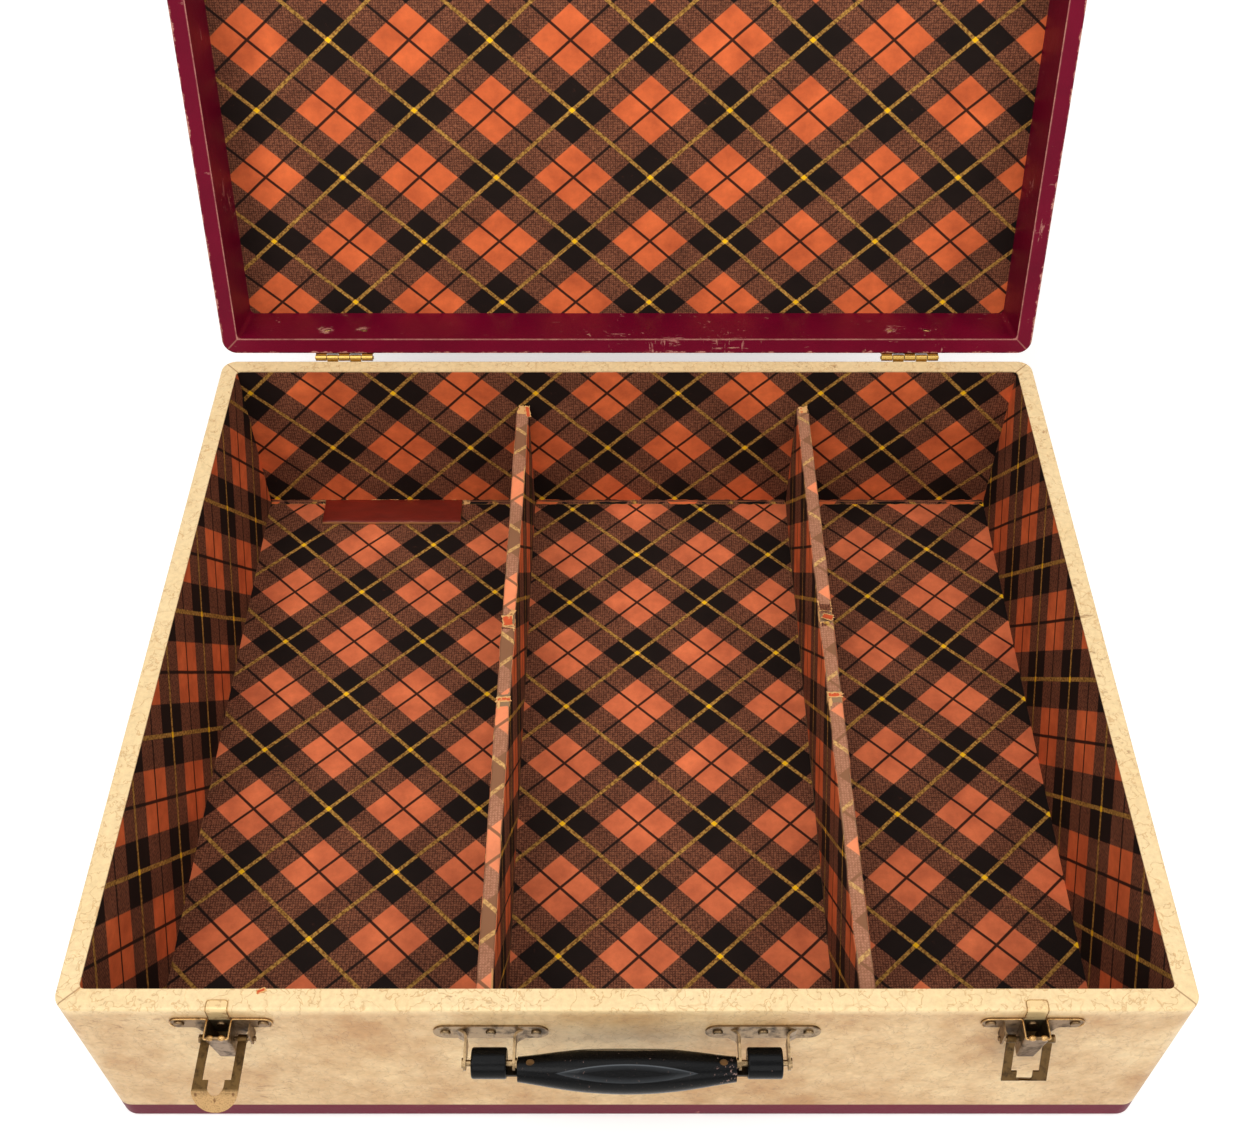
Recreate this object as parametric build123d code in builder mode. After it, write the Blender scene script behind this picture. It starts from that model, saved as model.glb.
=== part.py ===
from build123d import *
import os

# Carrying case, lying open: a board base with three bays, a shallow board lid on two knuckle hinges,
# two loop catches and a carrying handle. Lengths are in millimetres. The origin is the middle of the
# underside, +X is to the case's right, +Y is to the hinges and +Z is up. Pieces of the lid, the loops
# and the handle are drawn where they lie with the case shut or square, and turned by their own frame.

# The case
case_width = 533.4
case_depth = 452.0
base_height = 130.0
lid_height = 48.0
rim_gap = 1.0
corner_radius = 9.0
bottom_edge_radius = 3.5
lid_edge_radius = 4.0
rim_edge_radius = 1.5
rim_opening_radius = 3.0
lid_open_angle = 106.0

# Boards, cloth and paper
board_thickness = 9.0
floor_board_thickness = 4.0
lid_panel_thickness = 4.0
cover_thickness = 0.8
lining_thickness = 0.7
band_height = 15.6

# Dividers and the cleat strip
left_bay_width = 182.0
right_bay_width = 134.0
divider_thickness = 7.0
divider_height = 93.0
wrap_thickness = 0.6
cleat_length = 98.0
cleat_width = 22.0
cleat_thickness = 2.5
cleat_from_side = 40.0
cleat_edge_radius = 0.6

# Hinges
hinge_spacing = 374.0
hinge_width = 38.0
hinge_barrel_radius = 2.2
hinge_leaf_thickness = 1.0
hinge_leaf_height = 22.0
hinge_leaf_corner_radius = 3.0
hinge_stand_off = 0.3
hinge_knuckle_count = 5
hinge_knuckle_gap = 0.5
hinge_leaf_clearance = 0.3
hinge_nail_spacing = 24.0
nail_head_radius = 1.9
nail_head_height = 0.9
nail_head_rounding = 0.6
nail_shank_radius = 0.8

# Fits
running_gap = 0.05
rivet_gap = 0.05
overrun = 2.0

# Rivets of the catches, the brackets and the keepers
rivet_head_radius = 2.5
rivet_head_height = 1.2
rivet_head_rounding = 0.8
rivet_shank_radius = 1.2

# Catches: socket plate
catch_spacing = 380.0
catch_below_rim = 8.0
catch_sheet = 0.8
catch_width = 48.5
catch_ear_height = 9.0
catch_body_width = 30.0
catch_body_foot_width = 17.0
catch_body_height = 18.0
catch_shoulder_radius = 3.0
pocket_width = 12.2
pocket_depth = 10.6
pocket_height = 27.0
pocket_foot_width = 8.5
pocket_foot_depth = 7.4
pocket_corner_radius = 1.6
pocket_foot_corner_radius = 1.0
pocket_lip_radius = 1.0
prong_from_centre = 13.2
prong_reach = 6.6
prong_root_height = 8.0

# Catches: back plate with its folded tab
tab_width = 10.2
tab_sheet = 0.6
tab_fold_depth = 5.0
back_plate_below_mouth = 14.0
back_plate_clearance = 0.1
pocket_rivet_below_mouth = 5.6

# Catches: loop and its pin
loop_pin_radius = 1.1
loop_pin_head_radius = 2.0
loop_pin_head_height = 0.9
loop_pin_drop = 22.5
loop_pin_out = 4.0
loop_sheet = 0.9
loop_width = 21.6
loop_slot_width = 13.4
loop_slot_length = 20.0
loop_throat_width = 7.7
loop_throat_length = 27.0
loop_crease = 25.6
loop_tab_length = 10.0
loop_tab_angle = 50.0
loop_eye_radius = 2.0
left_loop_angle = 0.0
right_loop_angle = 66.0

# Keepers on the lid
keeper_width = 30.0
keeper_height = 13.0
keeper_above_rim = 0.5
keeper_sheet = 0.8
keeper_corner_radius = 4.0
keeper_rivet_spacing = 21.0
keeper_rivet_rise = 6.5
tongue_width = 8.0
tongue_out = 2.2
tongue_below_rim = 16.0
nose_radius = 3.2
nose_reach = 7.6
nose_lip_thickness = 0.9
nose_lip_rise = 1.35

# Handle brackets
bracket_spacing = 128.8
bracket_width = 54.6
bracket_height = 12.7
bracket_sheet = 1.0
bracket_below_rim = 16.0
bracket_rivet_spacing = 43.0
bracket_prong_spacing = 23.0
bracket_prong_thickness = 1.2
bracket_prong_flare = 4.6
bracket_prong_bend = 4.5
bracket_prong_root_height = 10.0
bracket_prong_end_radius = 3.4

# Handle
handle_pin_drop = 24.5
handle_pin_out = 15.0
handle_pin_radius = 1.5
handle_pin_head_radius = 2.4
handle_pin_head_height = 0.8
handle_rest_angle = 75.0
sleeve_radius = 7.15
sleeve_length = 16.5
sleeve_edge_radius = 1.0
core_eye_radius = 4.2
core_strap_thickness = 1.2
core_strap_width = 7.0
core_gap = 0.05
grip_end_gap = 1.0
grip_radius = 10.5
grip_bow = 5.8
grip_end_bow = 4.6
grip_facet_depth = 0.9
grip_facet_angle = 135.0
grip_screw_from_end = 6.0
grip_screw_radius = 1.2
grip_screw_head_radius = 2.0
grip_screw_head_height = 0.8
grip_screw_recess_radius = 2.3
grip_screw_recess_depth = 1.6

# Shape of the grip from its end to its middle, as shares of its half length, radius and bow
grip_place_shares = (-1.0, -0.68, -0.34, 0.0, 0.34, 0.68, 1.0)
grip_radius_shares = (0.55, 0.76, 0.94, 1.0, 0.94, 0.76, 0.55)
grip_bow_shares = (0.0, 0.53, 0.87, 1.0, 0.87, 0.53, 0.0)

# Worked out from the sizes above
half_depth = case_depth / 2
wall_thickness = cover_thickness + board_thickness + lining_thickness
inner_width = case_width - 2 * wall_thickness
inner_depth = case_depth - 2 * wall_thickness
board_width = case_width - 2 * cover_thickness
board_depth = case_depth - 2 * cover_thickness
board_corner_radius = corner_radius - cover_thickness
board_foot = cover_thickness + floor_board_thickness
base_wall_height = base_height - cover_thickness - board_foot
wall_stack = cover_thickness + board_thickness
lid_rim = base_height + rim_gap
lid_top = lid_rim + lid_height
panel_underside = lid_top - cover_thickness - lid_panel_thickness
lid_wall_height = panel_underside - lid_rim - cover_thickness
floor_top = board_foot + lining_thickness

hinge_y = half_depth + hinge_stand_off + hinge_barrel_radius
hinge_z = base_height + rim_gap / 2
hinge_bore_radius = hinge_barrel_radius - hinge_leaf_thickness
hinge_pin_radius = hinge_bore_radius - running_gap
hinge_leaf_start = hinge_barrel_radius + hinge_leaf_clearance
hinge_nail_rise = hinge_leaf_start + hinge_leaf_height / 2
knuckle_pitch = hinge_width / hinge_knuckle_count
lid_knuckles = range(0, hinge_knuckle_count, 2)
base_knuckles = range(1, hinge_knuckle_count, 2)

catch_top = base_height - catch_below_rim
catch_ear_z = catch_top - catch_ear_height / 2
catch_ear_x = (catch_width - catch_ear_height) / 2
pocket_rivet_z = catch_top - pocket_rivet_below_mouth
pocket_foot = catch_top - pocket_height
pocket_inner_width = pocket_width - 2 * catch_sheet
pocket_foot_inner_width = pocket_foot_width - 2 * catch_sheet
back_plate_share = back_plate_below_mouth / pocket_height
back_plate_foot_width = (
    pocket_inner_width * (1 - back_plate_share)
    + pocket_foot_inner_width * back_plate_share
    - 2 * back_plate_clearance
)
loop_pin_y = -half_depth - loop_pin_out
loop_pin_z = base_height - loop_pin_drop
loop_pin_start = loop_width / 2 + running_gap + loop_pin_head_height
loop_pin_end = prong_from_centre + catch_sheet + loop_pin_head_height
loop_throat_centre = loop_throat_length - loop_throat_width / 2
nose_z = loop_pin_z + loop_throat_centre

bracket_top = base_height - bracket_below_rim
bracket_z = bracket_top - bracket_height / 2
handle_pin_y = -half_depth - handle_pin_out
handle_pin_z = base_height - handle_pin_drop
handle_pin_reach = bracket_prong_spacing / 2 + bracket_prong_thickness / 2
grip_half_length = bracket_spacing / 2 - handle_pin_reach - grip_end_gap
core_half_length = (bracket_spacing + sleeve_length) / 2
strap_y = handle_pin_y - core_eye_radius
grip_screw_x = grip_half_length - grip_screw_from_end
screw_seat_y = handle_pin_y - grip_end_bow + grip_radius_shares[0] * grip_radius - grip_screw_recess_depth
grip_screw_length = screw_seat_y - strap_y + core_strap_thickness

sides = {"left": -1, "right": 1}
loop_angles = {"left": left_loop_angle, "right": right_loop_angle}


def on(frame, plane):
    """A plane drawn with the case shut or square, as it lies in a turned piece's frame."""
    return Plane(frame.location * plane.location)


def turned(axis_y, axis_z, angle):
    """Frame of a piece turned about an axis along the case's width."""
    pivot = Location((0, axis_y, axis_z))
    return Plane(pivot * Location((0, 0, 0), (angle, 0, 0)) * pivot.inverse())


def level(frame, height):
    """Level plane of a frame at a height."""
    return on(frame, Plane.XY.offset(height))


def facing_front(frame, distance):
    """Plane that faces the front of a frame, at a distance in front of its middle."""
    return on(frame, Plane.XZ.offset(distance))


def facing_right(frame, distance):
    """Plane that faces the right of a frame, at a distance from its middle."""
    return on(frame, Plane.YZ.offset(distance))


case_frame = Plane.XY
lid_frame = turned(hinge_y, hinge_z, -lid_open_angle)
handle_frame = turned(handle_pin_y, handle_pin_z, handle_rest_angle)

# Where the fasteners go through the boards and the covers, as (x, z) on the face that they are in
catch_rivet_places = []
pocket_rivet_places = []
bracket_rivet_places = []
hinge_nail_places = {"base": [], "lid": []}
keeper_rivet_places = []
for sign in sides.values():
    catch_x = sign * catch_spacing / 2
    catch_rivet_places += [(catch_x - catch_ear_x, catch_ear_z), (catch_x + catch_ear_x, catch_ear_z)]
    pocket_rivet_places += [(catch_x, pocket_rivet_z)]
    keeper_rivet_places += [
        (catch_x - keeper_rivet_spacing / 2, lid_rim + keeper_rivet_rise),
        (catch_x + keeper_rivet_spacing / 2, lid_rim + keeper_rivet_rise),
    ]
    bracket_x = sign * bracket_spacing / 2
    bracket_rivet_places += [
        (bracket_x - bracket_rivet_spacing / 2, bracket_z),
        (bracket_x, bracket_z),
        (bracket_x + bracket_rivet_spacing / 2, bracket_z),
    ]
    hinge_x = sign * hinge_spacing / 2
    for offset_x in (-hinge_nail_spacing / 2, hinge_nail_spacing / 2):
        hinge_nail_places["base"] += [(hinge_x + offset_x, hinge_z - hinge_nail_rise)]
        hinge_nail_places["lid"] += [(hinge_x + offset_x, hinge_z + hinge_nail_rise)]
front_rivet_places = catch_rivet_places + pocket_rivet_places + bracket_rivet_places

os.makedirs("parts", exist_ok=True)


def long_board(frame, foot, height, side, hole_radius, hole_places):
    """Front (side -1) or back (side 1) wall board, rounded at the corners of the case."""
    with BuildPart() as board:
        with BuildSketch(level(frame, foot)) as plan:
            with Locations((0, side * (board_depth - board_thickness) / 2)):
                Rectangle(board_width, board_thickness)
            by_depth = plan.vertices().sort_by(Axis.Y)
            fillet(by_depth[:2] if side < 0 else by_depth[-2:], board_corner_radius)
        extrude(amount=height)
        if hole_places:
            with BuildSketch(facing_front(frame, -side * board_depth / 2)):
                with Locations(*hole_places):
                    Circle(hole_radius)
            extrude(amount=board_thickness + overrun, both=True, mode=Mode.SUBTRACT)
    return board.part


def side_board(frame, foot, height, side):
    """Left (side -1) or right (side 1) wall board, between the front and the back board."""
    with BuildPart() as board:
        with BuildSketch(level(frame, foot)):
            with Locations((side * (board_width - board_thickness) / 2, 0)):
                Rectangle(board_thickness, board_depth - 2 * board_thickness)
        extrude(amount=height)
    return board.part


def hinge_leaf(frame, hinge_x, up, knuckles):
    """One leaf of a hinge with its knuckles: up is 1 for the lid's leaf and -1 for the base's."""
    inner_edge = Align.MIN if up > 0 else Align.MAX
    back_face = facing_front(frame, -half_depth)
    with BuildPart() as leaf:
        with BuildSketch(back_face) as outline:
            with Locations((hinge_x, hinge_z + up * hinge_leaf_start)):
                Rectangle(hinge_width, hinge_leaf_height, align=(Align.CENTER, inner_edge))
            by_height = outline.vertices().sort_by(Axis.Y)
            fillet(by_height[-2:] if up > 0 else by_height[:2], hinge_leaf_corner_radius)
        extrude(amount=-hinge_leaf_thickness)
        for number in knuckles:
            knuckle_start = hinge_x - hinge_width / 2 + number * knuckle_pitch + hinge_knuckle_gap / 2
            knuckle_length = knuckle_pitch - hinge_knuckle_gap
            with BuildSketch(back_face):
                with Locations((knuckle_start, hinge_z)):
                    Rectangle(knuckle_length, hinge_leaf_start, align=(Align.MIN, inner_edge))
            extrude(amount=-hinge_leaf_thickness)
            with BuildSketch(facing_right(frame, knuckle_start)):
                with Locations((hinge_y, hinge_z)):
                    Circle(hinge_barrel_radius)
            extrude(amount=knuckle_length)
        with BuildSketch(facing_right(frame, hinge_x - hinge_width / 2)):
            with Locations((hinge_y, hinge_z)):
                Circle(hinge_bore_radius)
        extrude(amount=hinge_width, mode=Mode.SUBTRACT)
        with BuildSketch(back_face):
            with Locations((hinge_x, hinge_z + up * hinge_nail_rise)):
                with GridLocations(hinge_nail_spacing, 0, 2, 1):
                    Circle(nail_shank_radius + rivet_gap)
        extrude(amount=-hinge_leaf_thickness, mode=Mode.SUBTRACT)
    return leaf.part


def fasteners(face, places, out, seat, depth, head_radius, head_height, rounding, shank_radius):
    """A group of domed rivets or nails: seat is the face's distance to the heads' seat, out is -1 or 1."""
    head_plane = face.offset(out * seat)
    with BuildPart() as group:
        with BuildSketch(head_plane):
            with Locations(*places):
                Circle(head_radius)
        extrude(amount=out * head_height)
        outward = Axis(face.origin, face.z_dir * out)
        fillet(group.edges().filter_by(GeomType.CIRCLE).group_by(outward)[-1], rounding)
        with BuildSketch(head_plane):
            with Locations(*places):
                Circle(shank_radius)
        extrude(amount=-out * (seat + depth))
    return group.part


# Base: bottom sheet, band, floor board and wall boards
with BuildPart() as bottom_sheet:
    with BuildSketch():
        RectangleRounded(
            case_width - 2 * bottom_edge_radius,
            case_depth - 2 * bottom_edge_radius,
            corner_radius - bottom_edge_radius,
        )
    extrude(amount=cover_thickness)
bottom_sheet.part.label = "bottom_sheet"
export_step(bottom_sheet.part, "parts/bottom_sheet.step")

with BuildPart() as floor_board:
    with BuildSketch(Plane.XY.offset(cover_thickness)):
        RectangleRounded(board_width, board_depth, board_corner_radius)
    extrude(amount=floor_board_thickness)
    fillet(floor_board.edges().group_by(Axis.Z)[0], bottom_edge_radius - cover_thickness)
floor_board.part.label = "base_floor_board"
export_step(floor_board.part, "parts/base_floor_board.step")

with BuildPart() as band_room:
    with BuildSketch(Plane.XY.offset(cover_thickness)):
        RectangleRounded(board_width, board_depth, board_corner_radius)
    extrude(amount=band_height)
    fillet(band_room.edges().group_by(Axis.Z)[0], bottom_edge_radius - cover_thickness)

with BuildPart() as bottom_band:
    with BuildSketch():
        RectangleRounded(case_width, case_depth, corner_radius)
    extrude(amount=band_height)
    fillet(bottom_band.edges().group_by(Axis.Z)[0], bottom_edge_radius)
    add(band_room.part, mode=Mode.SUBTRACT)
    add(bottom_sheet.part, mode=Mode.SUBTRACT)
bottom_band.part.label = "bottom_band"
export_step(bottom_band.part, "parts/bottom_band.step")

base_front_board = long_board(
    case_frame, board_foot, base_wall_height, -1, rivet_shank_radius + rivet_gap, front_rivet_places
)
base_front_board.label = "base_front_board"
export_step(base_front_board, "parts/base_front_board.step")

base_back_board = long_board(
    case_frame, board_foot, base_wall_height, 1, nail_shank_radius + rivet_gap, hinge_nail_places["base"]
)
base_back_board.label = "base_back_board"
export_step(base_back_board, "parts/base_back_board.step")

for side, sign in sides.items():
    base_side_board = side_board(case_frame, board_foot, base_wall_height, sign)
    base_side_board.label = f"base_side_board_{side}"
    export_step(base_side_board, f"parts/base_side_board_{side}.step")

# Base: cream cover over the walls and the rim
with BuildPart() as base_cover:
    with BuildSketch(Plane.XY.offset(band_height)):
        RectangleRounded(case_width, case_depth, corner_radius)
    extrude(amount=base_height - band_height)
    fillet(base_cover.edges().group_by(Axis.Z)[-1], rim_edge_radius)
    with BuildSketch(Plane.XY.offset(band_height)):
        RectangleRounded(board_width, board_depth, board_corner_radius)
    extrude(amount=base_height - cover_thickness - band_height, mode=Mode.SUBTRACT)
    with BuildSketch(Plane.XY.offset(base_height)):
        RectangleRounded(inner_width, inner_depth, rim_opening_radius)
    extrude(amount=-cover_thickness, mode=Mode.SUBTRACT)
    with BuildSketch(Plane.XZ.offset(half_depth)):
        with Locations(*front_rivet_places):
            Circle(rivet_shank_radius + rivet_gap)
    extrude(amount=-wall_stack, mode=Mode.SUBTRACT)
    with BuildSketch(Plane.XZ.offset(-half_depth)):
        with Locations(*hinge_nail_places["base"]):
            Circle(nail_shank_radius + rivet_gap)
    extrude(amount=wall_stack, mode=Mode.SUBTRACT)
base_cover.part.label = "base_cover"
export_step(base_cover.part, "parts/base_cover.step")

# Base: tartan linings
lining_reach = inner_width + 2 * lining_thickness
for name, sign in {"lining_front": -1, "lining_back": 1}.items():
    with BuildPart() as wall_lining:
        with BuildSketch(Plane.XY.offset(board_foot)):
            with Locations((0, sign * (inner_depth + lining_thickness) / 2)):
                Rectangle(lining_reach, lining_thickness)
        extrude(amount=base_wall_height)
    wall_lining.part.label = name
    export_step(wall_lining.part, f"parts/{name}.step")

for side, sign in sides.items():
    with BuildPart() as wall_lining:
        with BuildSketch(Plane.XY.offset(board_foot)):
            with Locations((sign * (inner_width + lining_thickness) / 2, 0)):
                Rectangle(lining_thickness, inner_depth)
        extrude(amount=base_wall_height)
    wall_lining.part.label = f"lining_{side}"
    export_step(wall_lining.part, f"parts/lining_{side}.step")

# Base: dividers, each a board in a paper wrap, and the floor sheets between them
wrapped_thickness = divider_thickness + 2 * wrap_thickness
divider_places = {
    "left": -inner_width / 2 + left_bay_width + wrapped_thickness / 2,
    "right": inner_width / 2 - right_bay_width - wrapped_thickness / 2,
}
for side, divider_x in divider_places.items():
    with BuildPart() as divider_board:
        with BuildSketch(Plane.XZ.offset(inner_depth / 2)):
            with Locations((divider_x, board_foot)):
                Rectangle(
                    divider_thickness, divider_height - wrap_thickness, align=(Align.CENTER, Align.MIN)
                )
        extrude(amount=-inner_depth)
    divider_board.part.label = f"divider_board_{side}"
    export_step(divider_board.part, f"parts/divider_board_{side}.step")

    with BuildPart() as divider_wrap:
        with BuildSketch(Plane.XZ.offset(inner_depth / 2)):
            with Locations((divider_x, board_foot)):
                Rectangle(wrapped_thickness, divider_height, align=(Align.CENTER, Align.MIN))
                Rectangle(
                    divider_thickness,
                    divider_height - wrap_thickness,
                    align=(Align.CENTER, Align.MIN),
                    mode=Mode.SUBTRACT,
                )
        extrude(amount=-inner_depth)
    divider_wrap.part.label = f"divider_wrap_{side}"
    export_step(divider_wrap.part, f"parts/divider_wrap_{side}.step")

floor_sheets = {
    "left": (-inner_width / 2, divider_places["left"] - wrapped_thickness / 2),
    "middle": (
        divider_places["left"] + wrapped_thickness / 2,
        divider_places["right"] - wrapped_thickness / 2,
    ),
    "right": (divider_places["right"] + wrapped_thickness / 2, inner_width / 2),
}
for bay, (start_x, end_x) in floor_sheets.items():
    with BuildPart() as floor_lining:
        with BuildSketch(Plane.XY.offset(board_foot)):
            with Locations((start_x, 0)):
                Rectangle(end_x - start_x, inner_depth, align=(Align.MIN, Align.CENTER))
        extrude(amount=lining_thickness)
    floor_lining.part.label = f"floor_lining_{bay}"
    export_step(floor_lining.part, f"parts/floor_lining_{bay}.step")

with BuildPart() as cleat_strip:
    with BuildSketch(Plane.XY.offset(floor_top)):
        with Locations((-inner_width / 2 + cleat_from_side, inner_depth / 2)):
            Rectangle(cleat_length, cleat_width, align=(Align.MIN, Align.MAX))
    extrude(amount=cleat_thickness)
    fillet(cleat_strip.edges().group_by(Axis.Z)[-1], cleat_edge_radius)
cleat_strip.part.label = "cleat_strip"
export_step(cleat_strip.part, "parts/cleat_strip.step")

# Lid: panel, wall boards, maroon cover and tartan lining
with BuildPart() as lid_core:
    with BuildSketch(level(lid_frame, lid_rim + cover_thickness)):
        RectangleRounded(board_width, board_depth, board_corner_radius)
    extrude(amount=lid_height - 2 * cover_thickness)
    lid_up = Axis(lid_frame.origin, lid_frame.z_dir)
    fillet(lid_core.edges().group_by(lid_up)[-1], lid_edge_radius - cover_thickness)

with BuildPart() as lid_panel:
    add(lid_core.part)
    with BuildSketch(level(lid_frame, panel_underside)):
        Rectangle(case_width, case_depth)
    extrude(amount=lid_panel_thickness, mode=Mode.INTERSECT)
lid_panel.part.label = "lid_panel"
export_step(lid_panel.part, "parts/lid_panel.step")

lid_board_foot = lid_rim + cover_thickness
lid_front_board = long_board(
    lid_frame, lid_board_foot, lid_wall_height, -1, rivet_shank_radius + rivet_gap, keeper_rivet_places
)
lid_front_board.label = "lid_front_board"
export_step(lid_front_board, "parts/lid_front_board.step")

lid_back_board = long_board(
    lid_frame, lid_board_foot, lid_wall_height, 1, nail_shank_radius + rivet_gap, hinge_nail_places["lid"]
)
lid_back_board.label = "lid_back_board"
export_step(lid_back_board, "parts/lid_back_board.step")

for side, sign in sides.items():
    lid_side_board = side_board(lid_frame, lid_board_foot, lid_wall_height, sign)
    lid_side_board.label = f"lid_side_board_{side}"
    export_step(lid_side_board, f"parts/lid_side_board_{side}.step")

with BuildPart() as lid_cover:
    with BuildSketch(level(lid_frame, lid_rim)):
        RectangleRounded(case_width, case_depth, corner_radius)
    extrude(amount=lid_height)
    fillet(lid_cover.edges().group_by(lid_up)[-1], lid_edge_radius)
    fillet(lid_cover.edges().group_by(lid_up)[0], rim_edge_radius)
    add(lid_core.part, mode=Mode.SUBTRACT)
    with BuildSketch(level(lid_frame, lid_rim + cover_thickness)):
        Rectangle(lining_reach, inner_depth + 2 * lining_thickness)
    extrude(amount=lid_wall_height)
    with BuildSketch(level(lid_frame, lid_rim)):
        RectangleRounded(inner_width, inner_depth, rim_opening_radius)
    extrude(amount=panel_underside - lid_rim, mode=Mode.SUBTRACT)
    with BuildSketch(facing_front(lid_frame, half_depth)):
        with Locations(*keeper_rivet_places):
            Circle(rivet_shank_radius + rivet_gap)
    extrude(amount=-wall_stack, mode=Mode.SUBTRACT)
    with BuildSketch(facing_front(lid_frame, -half_depth)):
        with Locations(*hinge_nail_places["lid"]):
            Circle(nail_shank_radius + rivet_gap)
    extrude(amount=wall_stack, mode=Mode.SUBTRACT)
lid_cover.part.label = "lid_cover"
export_step(lid_cover.part, "parts/lid_cover.step")

with BuildPart() as lid_lining:
    with BuildSketch(level(lid_frame, panel_underside)):
        RectangleRounded(inner_width, inner_depth, rim_opening_radius)
    extrude(amount=-lining_thickness)
lid_lining.part.label = "lid_lining"
export_step(lid_lining.part, "parts/lid_lining.step")

# Hinges: a leaf on the base with two knuckles, a leaf on the lid with three, and a pin
for side, sign in sides.items():
    hinge_x = sign * hinge_spacing / 2
    base_leaf = hinge_leaf(case_frame, hinge_x, -1, base_knuckles)
    base_leaf.label = f"hinge_base_leaf_{side}"
    export_step(base_leaf, f"parts/hinge_base_leaf_{side}.step")

    lid_leaf = hinge_leaf(lid_frame, hinge_x, 1, lid_knuckles)
    lid_leaf.label = f"hinge_lid_leaf_{side}"
    export_step(lid_leaf, f"parts/hinge_lid_leaf_{side}.step")

    with BuildPart() as hinge_pin:
        with BuildSketch(Plane.YZ.offset(hinge_x - hinge_width / 2)):
            with Locations((hinge_y, hinge_z)):
                Circle(hinge_pin_radius)
        extrude(amount=hinge_width)
    hinge_pin.part.label = f"hinge_pin_{side}"
    export_step(hinge_pin.part, f"parts/hinge_pin_{side}.step")

nail_sizes = (nail_head_radius, nail_head_height, nail_head_rounding, nail_shank_radius)
for name, frame in {"base": case_frame, "lid": lid_frame}.items():
    back_face = facing_front(frame, -half_depth)
    nails = fasteners(back_face, hinge_nail_places[name], -1, hinge_leaf_thickness, wall_stack, *nail_sizes)
    nails.label = f"hinge_nails_{name}"
    export_step(nails, f"parts/hinge_nails_{name}.step")

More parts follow.
